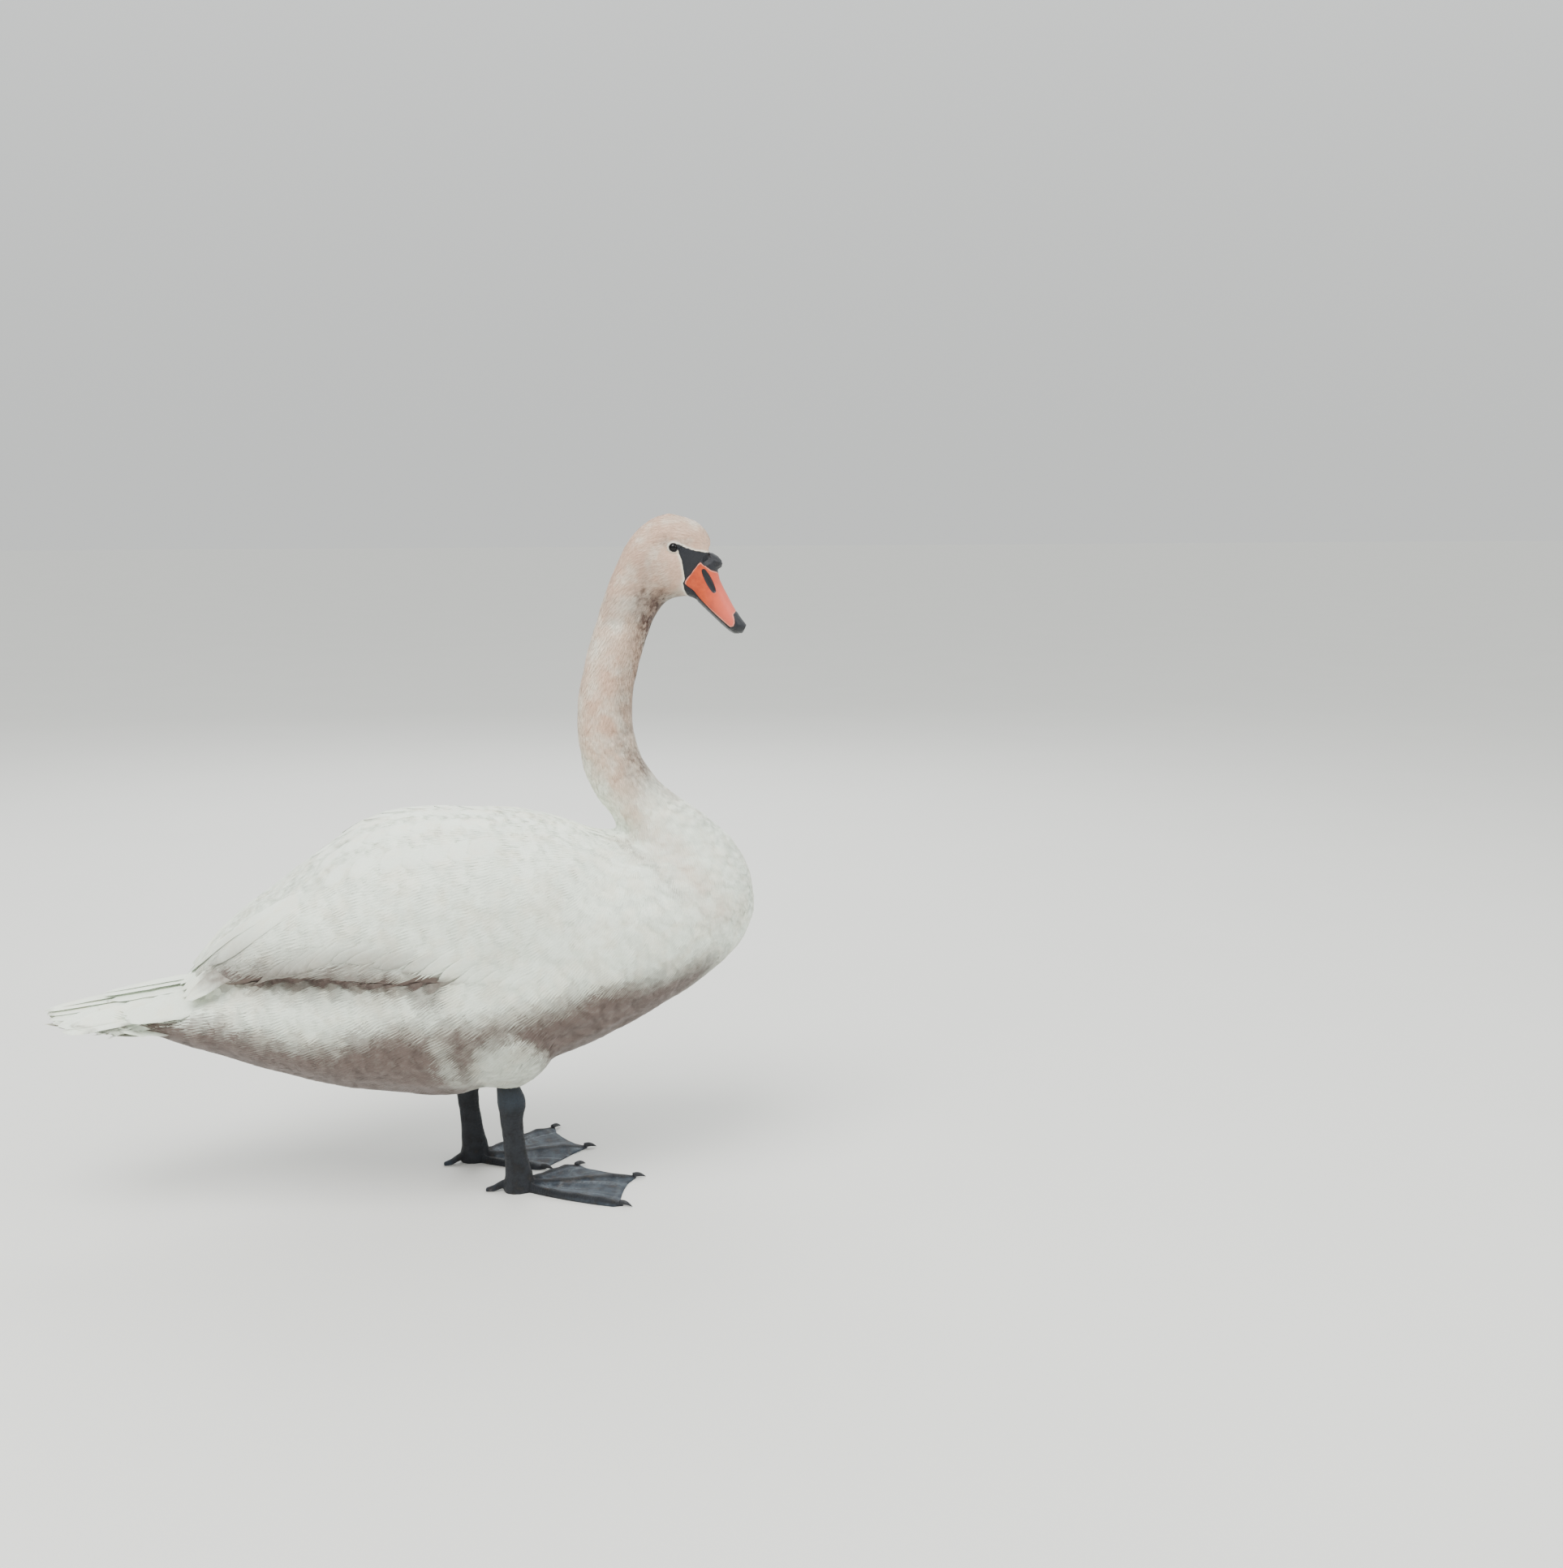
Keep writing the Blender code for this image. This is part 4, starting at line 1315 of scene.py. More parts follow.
    def bare_distance(self) -> Array:
        """Measure the bare skin before the eyes and on the lids.

        Returns:
            Distance into it, negative outside.
        """
        face = FRAME.face(self.points)
        lore = outline_distance(face[:, (0, 2)], FACE.lore)
        front = (face[:, 2] > 0.66) & (face[:, 0] > 0.22)
        ring = np.linalg.norm(face[:, (0, 2)] - np.array(FACE.eye), axis=1)
        edge = 0.0005 * bumpy(self.points, 0.0025, 12.0)
        return np.where(front, np.maximum(lore, FACE.ring - ring) + edge, -0.02)

    def coat(self) -> tuple[Array, Array]:
        """Depth of the plumage and length of its feathers at each corner, by its region."""
        return tuple(np.array([self.coats[region] for region in Region])[self.regions].T)

    def soften(self) -> None:
        """Fill the front of the wing's lower edge and add the soft lumps of lying plumage."""
        x, y, z = FRAME.body(self.points).T
        front = smooth(-0.085, -0.040, x) * smooth(0.14, 0.125, x)
        low = smooth(0.255, 0.275, z) * smooth(0.385, 0.345, z)
        seam = front * low * smooth(0.05, 0.07, np.abs(y))
        shoulder = smooth(0.04, 0.09, x) * smooth(0.17, 0.13, x)
        shoulder *= smooth(0.28, 0.33, z) * (z < 0.47)
        mask = np.clip(seam + shoulder, 0.0, 1.0)
        self.moved(relaxed(self.points, self.edges, 110, 0.6, mask))
        normals = read_normals(self.mesh)
        x, y, z = FRAME.body(self.points).T
        stretched = self.points * np.array([0.55, 1.0, 1.0])
        lumps = bumpy(stretched, 0.034, 3.0) + 0.5 * bumpy(stretched, 0.016, 8.0)
        trunk = smooth(0.50, 0.44, z) * smooth(-0.42, -0.36, x)
        neck = smooth(0.42, 0.50, z) * smooth(0.80, 0.70, z)
        rise = self.lump_height * lumps * trunk
        rise += self.neck_lumps * bumpy(self.points, 0.018, 5.0) * neck
        self.moved(self.points + normals * rise[:, None])

    def shape_lids(self) -> None:
        """Open the skin over each eyeball and raise a rounded lid round it."""
        face = FRAME.face(self.points)
        for side in Side:
            centre = FACE.eyeball(side)
            local = face - centre
            out = local[:, 1] * side.value
            ring = np.hypot(local[:, 0] * 0.96, local[:, 2] * 1.08)
            near = (ring < self.lid_reach) & (out > -0.006)
            rim = math.sqrt(FACE.eye_radius ** 2 - self.lid_opening ** 2)
            past = np.clip((ring - self.lid_opening) / (self.lid_reach - self.lid_opening), 0.0, 1.0)
            fold = rim + self.lid_height * np.cos(np.clip(past * 2.2, 0.0, 1.0) * math.pi / 2)
            fold -= self.lid_fall * smooth(0.25, 0.45, past)
            keep = smooth(0.35, 1.0, past)
            lifted = fold * (1 - keep) + out * keep
            inner = smooth(self.lid_opening - 0.0007, self.lid_opening, ring)
            cap = np.sqrt(np.maximum(FACE.eye_radius ** 2 - ring ** 2, 0.0)) - self.cap_gap
            target = cap * (1 - inner) + lifted * inner
            face[near, 1] = centre[1] + side.value * target[near]
        self.moved(FRAME.from_face(face))

    def flow(self) -> tuple[Array, Array]:
        """Find the way from the bill to the tail and down the thighs, over an even coarse skin.

        Returns:
            Places on the coarse skin, and the direction at each.
        """
        coarse = remeshed(merged_copy(NODE_REGION, self.swell), self.coarse_voxel)
        places = read_points(coarse)
        edges = read_edges(coarse)
        bpy.data.meshes.remove(coarse)
        body = FRAME.body(places)
        face = FRAME.face(places)
        source = (face[:, 0] > 0.262) & (face[:, 2] > 0.66)
        tail = body[:, 0] < -0.485
        ankle = (body[:, 2] < 0.155) & (np.abs(body[:, 1]) > 0.035) & (np.abs(body[:, 0] + 0.012) < 0.075)
        size = len(places)
        fixed = source | tail | ankle
        values = np.where(source, 1.0, 0.0)
        matrix = np.zeros((size, size))
        matrix[edges[:, 0], edges[:, 1]] = -1.0
        matrix[edges[:, 1], edges[:, 0]] = -1.0
        matrix[np.arange(size), np.arange(size)] = -matrix.sum(axis=1)
        for held_there in (source | tail, fixed):
            free = np.flatnonzero(~held_there)
            held = np.flatnonzero(held_there)
            right = -matrix[np.ix_(free, held)] @ values[held]
            values[free] = np.linalg.solve(matrix[np.ix_(free, free)], right)
            values[ankle] *= self.ankle_pull
        gap = places[edges[:, 1]] - places[edges[:, 0]]
        slope = (values[edges[:, 1]] - values[edges[:, 0]]) / np.maximum((gap ** 2).sum(axis=1), 1e-9)
        flow = np.zeros((size, 3))
        for axis in range(3):
            part = -slope * gap[:, axis]
            flow[:, axis] = np.bincount(edges[:, 0], part, size) + np.bincount(edges[:, 1], part, size)
        return places, relaxed(unit(flow), edges, 3)

    def lay(self) -> None:
        """Keep the lie of the feathers, which on the wings is drawn backwards and down."""
        places, flow = self.flow()
        finder = kdtree.KDTree(len(places))
        for i, place in enumerate(places):
            finder.insert(Vector(place), i)
        finder.balance()
        lie = np.zeros((len(self.points), 3))
        for i, point in enumerate(self.points):
            for _, number, distance in finder.find_n(Vector(point), 4):
                lie[i] += flow[number] / (distance + 0.002)
        outer = smooth(0.05, 0.10, np.abs(FRAME.body(self.points)[:, 1]))
        back = np.array([-1.0, 0.0, 0.0]) + np.array([0.0, 0.0, -0.36]) * outer[:, None]
        wing = (self.regions == Region.WING.value)[:, None]
        lie = np.where(wing, unit(lie) + self.wing_pull * back, unit(lie))
        normals = read_normals(self.mesh)
        for _ in range(2):
            lie = relaxed(lie, self.edges, 6)
            lie = unit(lie - normals * (lie * normals).sum(axis=1, keepdims=True))
        store(self.mesh, "lie", lie, "FLOAT_VECTOR")

    def mark(self) -> None:
        """Keep the size of the feathers and their marks and painted shade at every point."""
        self.regions = np.where(self.regions == Region.BILL.value, Region.HEAD.value, self.regions)
        face = FRAME.face(self.points)
        body = FRAME.body(self.points)
        bare = self.bare_distance()
        close = smooth(0.020, 0.002, -bare) * (face[:, 2] > MARKS.head_low)
        groove = smooth(0.020, 0.008, np.abs(body[:, 2] - self.edge_height))
        groove *= smooth(-0.03, -0.07, body[:, 0]) * smooth(-0.40, -0.37, body[:, 0])
        depth, span = self.coat()
        depth = relaxed(depth, self.edges, 30)
        span = relaxed(span, self.edges, 60)
        hidden = (self.regions == Region.TAIL.value) & (body[:, 0] < -0.450)
        hidden |= (self.regions == Region.WING.value) & (read_normals(self.mesh)[:, 2] < -0.10)
        store(self.mesh, "span", span * (1 - 0.55 * close) * (1 - 0.45 * groove))
        store(self.mesh, "loft", depth * (1 - 0.45 * close))
        store(self.mesh, "bare", bare)
        store(self.mesh, "cover", np.where((bare > -0.0002) | hidden, 0.0, 1.0))
        firsts = read(self.mesh.loops, "vertex_index", 1, np.int32)[::3]
        store(self.mesh, "region", self.regions[firsts], "INT", "FACE")
        for name, values in self.marks(face, body, bare).items():
            store(self.mesh, name, values)

    def marks(self, face: Array, body: Array, bare: Array) -> dict[str, Array]:
        """Shares of buff, brown and mauve at every point; brown and mauve hold painted shade under the
        body, in creases and round the eye as well as stains.

        Args:
            face: Places in the head's axes.
            body: Places in the body's axes.
            bare: Distance into the bare skin.

        Returns:
            The shares by name.
        """
        side, head = body[:, (0, 2)], face[:, (0, 2)]
        x, height = side.T
        wide = np.abs(body[:, 1])
        mottle = bumpy(self.points, 0.016, 21.0)
        patches = bumpy(self.points * np.array([1.0, 1.0, 0.6]), 0.030, 31.0)
        broad = bumpy(self.points * np.array([0.7, 1.0, 1.0]), 0.055, 41.0)
        front = smooth(-0.014, 0.022, x - MARKS.along(MARKS.throat, height))
        buff = smooth(0.44, 0.60, height) * (x > 0.07) * np.clip(0.88 + 0.34 * patches, 0.0, 1.0)
        buff += smooth(0.70, 0.76, head[:, 1]) * 0.16 + 0.30 * patch(head, (0.212, 0.795), (0.020, 0.016))
        buff -= 0.30 * patch(head, (0.262, 0.810), (0.024, 0.014))
        buff += band(side, MARKS.trail, 0.016) * np.clip(0.40 + 0.45 * mottle, 0.0, 1.0) * (wide > 0.015)
        brown = smooth(0.47, 0.53, height) * smooth(0.745, 0.72, height) * front
        brown *= np.clip(0.42 + 0.36 * mottle + 0.30 * patches, 0.0, 1.0)
        brown += 0.80 * patch(side, (0.207, 0.708), (0.022, 0.024)) * (x > 0.17)
        # Painted shade behind the eye and under the brow.
        brown += 0.60 * patch(head, (0.224, 0.793), (0.010, 0.008))
        brown += 0.34 * patch(head, (0.250, 0.792), (0.016, 0.007))
        brown += 0.60 * patch(head, (0.208, 0.736), (0.024, 0.012)) * np.clip(0.8 + 0.8 * mottle, 0.0, 1.0)
        # Painted shade in the crease where the neck meets the breast.
        brown += 0.45 * band(side, MARKS.crease, 0.0045) * (wide > 0.02)
        clean = MARKS.blaze * smooth(-0.0030, -0.0008, bare) * (head[:, 1] > MARKS.head_low)
        lean = read_normals(self.mesh)[:, 2]
        rear = smooth(-0.20, -0.36, x)
        thigh = relaxed((self.regions == Region.THIGH.value) * 1.0, self.edges, 16)
        tuft = band(side, MARKS.tuft, 0.009) * (wide > 0.05)
        middle = smooth(0.105, 0.030, wide) * smooth(0.08, 0.20, x)
        # Painted shade under the body, partly a belly stain: mauve below a wavy level and where the skin
        # faces down, less on the thigh and the pale tuft.
        level = MARKS.along(MARKS.underside_shade_line, x) + 0.006 + (0.010 + 0.012 * middle) * broad
        level += 0.005 * mottle - 0.040 * middle
        under = smooth(0.030, -0.026 - 0.034 * middle, height - level) * smooth(0.75, 0.20, lean)
        facing_down = smooth(-0.20, -0.75, lean + 0.10 * broad) * smooth(0.41, 0.26, height)
        under = np.maximum(1 - (1 - under) ** 1.5, facing_down * (1 - 0.3 * middle))
        under *= smooth(-0.395, -0.365, x)
        mauve = under * np.clip(1.03 + 0.06 * patches, 0.0, 1.0) * (1 - 0.72 * thigh) * (1 - 0.50 * tuft)
        # Painted shade, browner where the skin faces straight down and under the rear.
        brown += 0.65 * smooth(-0.60, -0.95, lean) * smooth(0.33, 0.26, height) * (1 - 0.6 * thigh)
        brown += 0.40 * rear * smooth(-0.25, -0.65, lean) * smooth(0.245, 0.225, height)
        # Painted shade behind and above the thigh.
        brown += 0.55 * patch(side, (-0.030, 0.200), (0.010, 0.040)) * (wide > 0.03)
        brown += 0.35 * patch(side, (0.030, 0.240), (0.050, 0.012)) * (wide > 0.05)
        # Painted shade in the groove under the wing's lower edge and on the wing's lower feathers above it.
        groove = bell(height - MARKS.along(MARKS.groove, x), 0.012) * (wide > 0.045)
        groove *= smooth(-0.355, -0.33, x) * smooth(-0.030, -0.062, x)
        mauve += 0.75 * groove
        brown += 0.45 * groove * (0.6 + 0.4 * rear)
        shade = bell(height - 0.321, 0.028) * smooth(-0.34, -0.28, x)
        mauve += 0.72 * shade * smooth(-0.05, -0.13, x) * (wide > 0.045)
        # Painted shade on the lower head; the cheek patch is the plumage's own mauve tint.
        jaw_shade = 0.30 * smooth(0.745, 0.725, head[:, 1]) * (head[:, 1] > MARKS.head_low)
        mauve += (0.35 * patch(head, (0.200, 0.760), (0.022, 0.022)) + jaw_shade) * (head[:, 0] > 0.15)
        brown += 0.60 * patch(side, (-0.328, 0.318), (0.008, 0.013)) * (wide > 0.03)
        shares = {"buff": buff, "brown": brown, "mauve": mauve}
        return {name: np.clip(share, 0.0, 1.0) * (1 - clean) for name, share in shares.items()}


# ---------------------------------------------------------------- feathers


@dataclass(frozen=True)
class VaneShape:
    """One small feather, of length one along y: a thin closed web that ends in loose strands."""

    name: str
    half_width: float
    strands: int
    web_end: float = 0.56
    spread: float = 1.12
    round_off: float = 0.16
    crown: float = 0.16
    variants: int = 4

    def build(self) -> Collection:
        """Make the variants of this vane.

        Returns:
            A collection that isn't shown.
        """
        place = bpy.data.collections.new(self.name)
        for number in range(self.variants):
            mesh = self.variant(np.random.default_rng(40 + number))
            place.objects.link(bpy.data.objects.new("%s_%d" % (self.name, number), mesh))
        return place

    def variant(self, rng: np.random.Generator) -> Mesh:
        """One variant of the vane.

        Args:
            rng: Source of the small differences.

        Returns:
            The mesh, with its height over the skin and its own coordinates kept on it.
        """
        work = bmesh.new()
        bend = rng.uniform(-0.10, 0.10)

        def spot(mark: float, row: float, raised: float) -> bmesh.types.BMVert:
            """Corner of the vane, bent a little to one side."""
            x = self.half_width * (mark + bend * row * row)
            return work.verts.new((x, row, raised * self.crown))

        root = [spot(-0.35, 0.0, 0.0), spot(0.35, 0.0, 0.0)]
        middle = [spot(-0.9, 0.32, 0.0), spot(0.0, 0.36, 1.0), spot(0.9, 0.32, 0.0)]
        edge = []
        for number in range(2 * self.strands + 1):
            mark = -1.0 + number / self.strands
            row = self.web_end - 0.12 * mark * mark + rng.uniform(-0.03, 0.03)
            edge.append(spot(mark, row, float(number % 2)))
        tips = []
        for number in range(self.strands):
            mark = -1.0 + (2 * number + 1) / self.strands
            reach = 1.0 - self.round_off * abs(mark) ** 2.2 + rng.uniform(-0.10, 0.04)
            tips.append(spot(mark * self.spread + rng.uniform(-0.4, 0.4) / self.strands, reach, 0.0))
        if self.strands == 1:
            middle = [root[0], spot(0.0, 0.10, 0.6), root[1]]
            work.faces.new((root[0], root[1], middle[1]))
        else:
            work.faces.new((root[0], root[1], middle[1]))
            work.faces.new((root[0], middle[1], middle[0]))
            work.faces.new((root[1], middle[2], middle[1]))
        for number in range(len(edge) - 1):
            work.faces.new((edge[number], middle[1], edge[number + 1]))
        work.faces.new((middle[0], middle[1], edge[0]))
        work.faces.new((middle[2], edge[-1], middle[1]))
        for number, tip in enumerate(tips):
            left, ridge, right = edge[2 * number: 2 * number + 3]
            work.faces.new((left, ridge, tip))
            work.faces.new((ridge, right, tip))
        outline = [root[0]] + ([] if self.strands == 1 else [middle[0]])
        for number, tip in enumerate(tips):
            outline += [edge[2 * number], tip]
        outline += [edge[-1]] + ([] if self.strands == 1 else [middle[2]]) + [root[1]]
        base = work.faces.new(outline)
        bmesh.ops.triangulate(work, faces=[base], ngon_method="EAR_CLIP")
        bmesh.ops.recalc_face_normals(work, faces=work.faces)
        mesh = plain_mesh(work, self.name)
        points = read_points(mesh)
        across = points[:, 0] / self.half_width
        lift = 0.06 + 0.94 * np.clip(points[:, 1], 0.0, 1.0) ** 0.9 + points[:, 2]
        points[:, 2] = 0.0
        write_points(mesh, points)
        store(mesh, "lift", lift)
        plan = np.column_stack([across, points[:, 1], np.zeros(len(points))])
        store(mesh, "vane", plan, "FLOAT_VECTOR")
        mesh.shade_smooth()
        return mesh


def soften_normals(mesh: Mesh, share: float = 0.80) -> None:
    """Shade loose feathers mostly as the skin under them, so that they read as one soft coat.

    Args:
        mesh: Feathers that keep the skin's normal as the attribute "outward".
        share: Part of the skin's normal in the new one.
    """
    layer = mesh.attributes["outward"]
    outward = read(layer.data, "vector", 3)
    corners = read(mesh.loops, "vertex_index", 1, np.int32)
    counts = read(mesh.polygons, "loop_total", 1, np.int32)
    flat = np.repeat(read(mesh.polygons, "normal", 3), counts, axis=0)
    aim = outward[corners]
    soft = unit(mixed(read_normals(mesh)[corners], aim, share))
    facing = smooth(-0.05, 0.25, (flat * aim).sum(axis=1))[:, None]
    soft = unit(soft * facing + flat * (1 - facing) + 1e-9)
    mesh.attributes.remove(layer)
    mesh.normals_split_custom_set(soft.tolist())


@dataclass(frozen=True)
class CoatPlan:
    """How one region is feathered."""

    name: str
    region: Region
    vane: str
    finish: str
    slot: Slot
    spacing: float
    scale: float = 1.0
    rise: float = 1.0
    jitter: float = 9.0
    seed: int = 1


COAT_INPUTS = {
    "Skin": "NodeSocketGeometry",
    "Region": "NodeSocketInt",
    "Vanes": "NodeSocketCollection",
    "Spacing": FLOAT,
    "Scale": FLOAT,
    "Rise": FLOAT,
    "Jitter": FLOAT,
    "Seed": "NodeSocketInt",
    "Finish": "NodeSocketMaterial",
}
MOST_DENSE = 400000.0
CREASE = (0.15, 0.40)


class Coat:
    """Small feathers over the skin, made by one tree of Geometry Nodes."""

    def __init__(self, skin: Object) -> None:
        """Build the tree.

        Args:
            skin: The finished skin.
        """
        self.skin = skin
        self.tree = bpy.data.node_groups.new("coat", "GeometryNodeTree")
        add_sockets(self.tree, COAT_INPUTS, {"Coat": "NodeSocketGeometry"})
        self.graph = Graph(self.tree)
        self.start = self.tree.nodes.new("NodeGroupInput").outputs
        self.wire()

    def named(self, name: str, kind: str = "FLOAT_VECTOR") -> NodeSocket:
        """Value of a named attribute inside the tree."""
        return self.graph.out("GeometryNodeInputNamedAttribute", {"Name": name}, data_type=kind)

    def keep(self, geometry: Any, name: str, value: Any, kind: str = "FLOAT_VECTOR") -> NodeSocket:
        """Store a value on the points under a name."""
        ins = {0: geometry, "Name": name, 3: value}
        return self.graph.out("GeometryNodeStoreNamedAttribute", ins, data_type=kind)

    def spread(self, low: Any, high: Any, number: int) -> NodeSocket:
        """Random number for each feather.

        Args:
            low: Lowest value.
            high: Highest value.
            number: Number of the draw, so that no two are alike.

        Returns:
            The random number.
        """
        seed = {0: self.start["Seed"], 1: number}
        key = self.graph.out("FunctionNodeIntegerMath", seed, operation="ADD")
        node = self.graph.add("FunctionNodeRandomValue", {2: low, 3: high, 8: key}, data_type="FLOAT")
        return node.outputs[1]

    def wire(self) -> None:
        """Wire the tree: scatter, turn, place, join, lay on the skin, map and finish."""
        graph, start = self.graph, self.start
        ins = {2: self.named("region", "INT"), 3: start["Region"]}
        match = graph.out("FunctionNodeCompare", ins, data_type="INT", operation="EQUAL")
        ins = {
            "Mesh": graph.out("GeometryNodeSeparateGeometry", {0: start["Skin"], 1: match}, domain="FACE"),
            "Distance Min": start["Spacing"], "Density Max": MOST_DENSE,
            "Density Factor": self.named("cover", "FLOAT"), "Seed": start["Seed"],
        }
        scatter = graph.add("GeometryNodeDistributePointsOnFaces", ins, distribute_method="POISSON")
        normal = scatter.outputs["Normal"]
        points = self.keep(scatter.outputs[0], "tint", self.spread(-1.0, 1.0, 1), "FLOAT")
        points = self.keep(points, "root_uv", self.named(UV_NAME))
        points = graph.out("GeometryNodeRemoveAttribute", {0: points, "Name": UV_NAME})
        points = self.keep(points, "root_normal", normal)
        turn = graph.out(
            "FunctionNodeAxesToRotation", {0: normal, 1: self.named("lie")},
            primary_axis="Z", secondary_axis="Y",
        )
        swing = self.spread(graph.times(start["Jitter"], -1.0), start["Jitter"], 2)
        yaw = graph.out("FunctionNodeAxisAngleToRotation", {0: (0.0, 0.0, 1.0), 1: swing})
        turn = graph.out("FunctionNodeRotateRotation", {0: turn, 1: yaw}, rotation_space="LOCAL")
        size = graph.times(self.named("span", "FLOAT"), start["Scale"])
        size = graph.times(size, self.spread(0.82, 1.16, 3))
        vanes = graph.out("GeometryNodeCollectionInfo", {0: start["Vanes"], 1: True, 2: True})
        coat = graph.out("GeometryNodeInstanceOnPoints", {
            "Points": points, "Instance": vanes, "Pick Instance": True,
            "Rotation": turn, "Scale": graph.same(size),
        })
        coat = graph.out("GeometryNodeRealizeInstances", {0: coat})
        place = graph.out("GeometryNodeInputPosition")
        coat = self.keep(coat, "outward", self.under(graph.out("GeometryNodeInputNormal"), place))
        coat = self.settle(coat, place)
        coat = self.keep(coat, "outward", self.shade())
        patch_size = (TUFT_PATCH / 2, TUFT_PATCH, 0.0)
        spot = graph.vector("MULTIPLY", self.named("vane"), patch_size)
        spot = graph.vector("ADD", self.named("root_uv"), spot)
        ins = {0: coat, "Name": UV_NAME, 3: spot}
        coat = graph.out("GeometryNodeStoreNamedAttribute", ins, data_type="FLOAT2", domain="CORNER")
        for name in ("lie", "root_normal", "root_uv", "cover", "span", "loft", "bare", "lift", "region"):
            coat = graph.out("GeometryNodeRemoveAttribute", {0: coat, "Name": name})
        coat = graph.out("GeometryNodeSetMaterial", {0: coat, 2: start["Finish"]})
        graph.feed(self.tree.nodes.new("NodeGroupOutput"), {0: coat})

    def under(self, value: Any, place: Any) -> NodeSocket:
        """Value of the skin at its nearest point to a place."""
        ins = {0: self.start["Skin"], 1: value, "Sample Position": place}
        return self.graph.out("GeometryNodeSampleNearestSurface", ins, data_type="FLOAT_VECTOR")

    def shade(self) -> NodeSocket:
        """Normal that a feather is shaded with.

        Returns:
            The skin's normal, or the root's across a crease.
        """
        outward, root = self.named("outward"), self.named("root_normal")
        agree = self.graph.ranged(self.graph.vector("DOT_PRODUCT", outward, root), *CREASE)
        return self.graph.between(agree, root, outward)

    def settle(self, coat: Any, place: Any) -> NodeSocket:
        """Lay every feather on the skin, its tip over the roots of the next ones.

        Args:
            coat: The feathers.
            place: Where each of their corners is.

        Returns:
            The laid feathers.
        """
        graph = self.graph
        nearest = self.under(place, place)
        loose = graph.vector("DISTANCE", place, nearest)
        agree = graph.vector("DOT_PRODUCT", self.named("outward"), self.named("root_normal"))
        far = graph.ranged(loose, 0.018, 0.026)
        stay = graph.math("MAXIMUM", far, graph.ranged(agree, *CREASE, 1.0, 0.0))
        lift = graph.times(self.named("lift", "FLOAT"), self.named("loft", "FLOAT"))
        uneven = graph.plus(graph.times(self.named("tint", "FLOAT"), 0.12), 1.0)
        lift = graph.times(graph.times(lift, uneven), self.start["Rise"])
        raised = graph.vector("SCALE", self.named("outward"))
        graph.feed(raised.node, {"Scale": lift})
        spot = graph.vector("ADD", graph.between(stay, nearest, place), raised)
        return graph.out("GeometryNodeSetPosition", {0: coat, 2: spot})

    def grow(self, plan: CoatPlan, vanes: Collection, finish: Material) -> Object:
        """Feather one region.

        Args:
            plan: What to grow and where.
            vanes: Variants of the feather.
            finish: Material of the feathers.

        Returns:
            A plain mesh piece.
        """
        values = {
            "Region": plan.region.value, "Vanes": vanes, "Spacing": plan.spacing, "Scale": plan.scale,
            "Rise": plan.rise, "Jitter": math.radians(plan.jitter), "Seed": plan.seed, "Finish": finish,
        }
        carrier = new_object("carrier", self.skin.data)
        step = carrier.modifiers.new("coat", "NODES")
        step.node_group = self.tree
        for item in self.tree.interface.items_tree:
            if item.in_out == "INPUT" and item.name in values:
                step[item.identifier] = values[item.name]
        mesh = applied(carrier)
        bpy.data.objects.remove(carrier, do_unlink=True)
        mesh.name = plan.name
        soften_normals(mesh)
        return new_object(plan.name, mesh)


VANE_SHAPES = {
    "blade": VaneShape("blade", 0.085, 1, web_end=0.5, spread=0.5, round_off=0.0, crown=0.08),
    "tuft": VaneShape("tuft", 0.15, 3, web_end=0.45),
    "plume": VaneShape("plume", 0.26, 7),
}

COAT_PLANS = (
    CoatPlan("coat_head", Region.HEAD, "blade", "down", Slot.BUFF, 0.0012, rise=0.45, seed=11, jitter=14.0),
    CoatPlan("coat_neck", Region.NECK, "blade", "down", Slot.BUFF, 0.0018, rise=0.50, seed=12, jitter=13.0),
    CoatPlan(
        "coat_neck_base", Region.THROAT, "tuft", "down", Slot.BUFF, 0.0033,
        rise=0.75, seed=13, jitter=12.0,
    ),
    CoatPlan("coat_breast", Region.BREAST, "plume", "plumes", Slot.WHITE, 0.0060, seed=14, jitter=11.0),
    CoatPlan("coat_trunk", Region.TRUNK, "plume", "plumes", Slot.WHITE, 0.0072, seed=15, jitter=10.0),
    CoatPlan("coat_wings", Region.WING, "plume", "plumes", Slot.WHITE, 0.0075, seed=16, jitter=8.0),
    CoatPlan("coat_thighs", Region.THIGH, "tuft", "plumes", Slot.WHITE, 0.0042, seed=17, jitter=14.0),
    CoatPlan(
        "coat_tail", Region.TAIL, "plume", "plumes", Slot.WHITE, 0.0055,
        scale=0.6, seed=18, jitter=6.0,
    ),
)


@dataclass(frozen=True)
class PlumeRow:
    """A row of large feathers on each side, given by the places of its first and last feather."""

    count: int
    roots: tuple[Place, Place]
    tips: tuple[Place, Place]
    width: float
    rise: float = 0.0024
    layer: float = 0.0004
    point: float = 0.24
    bend: float = 0.0
    round_back: bool = False
    loose: float = 0.03
    tuck: float = 0.0


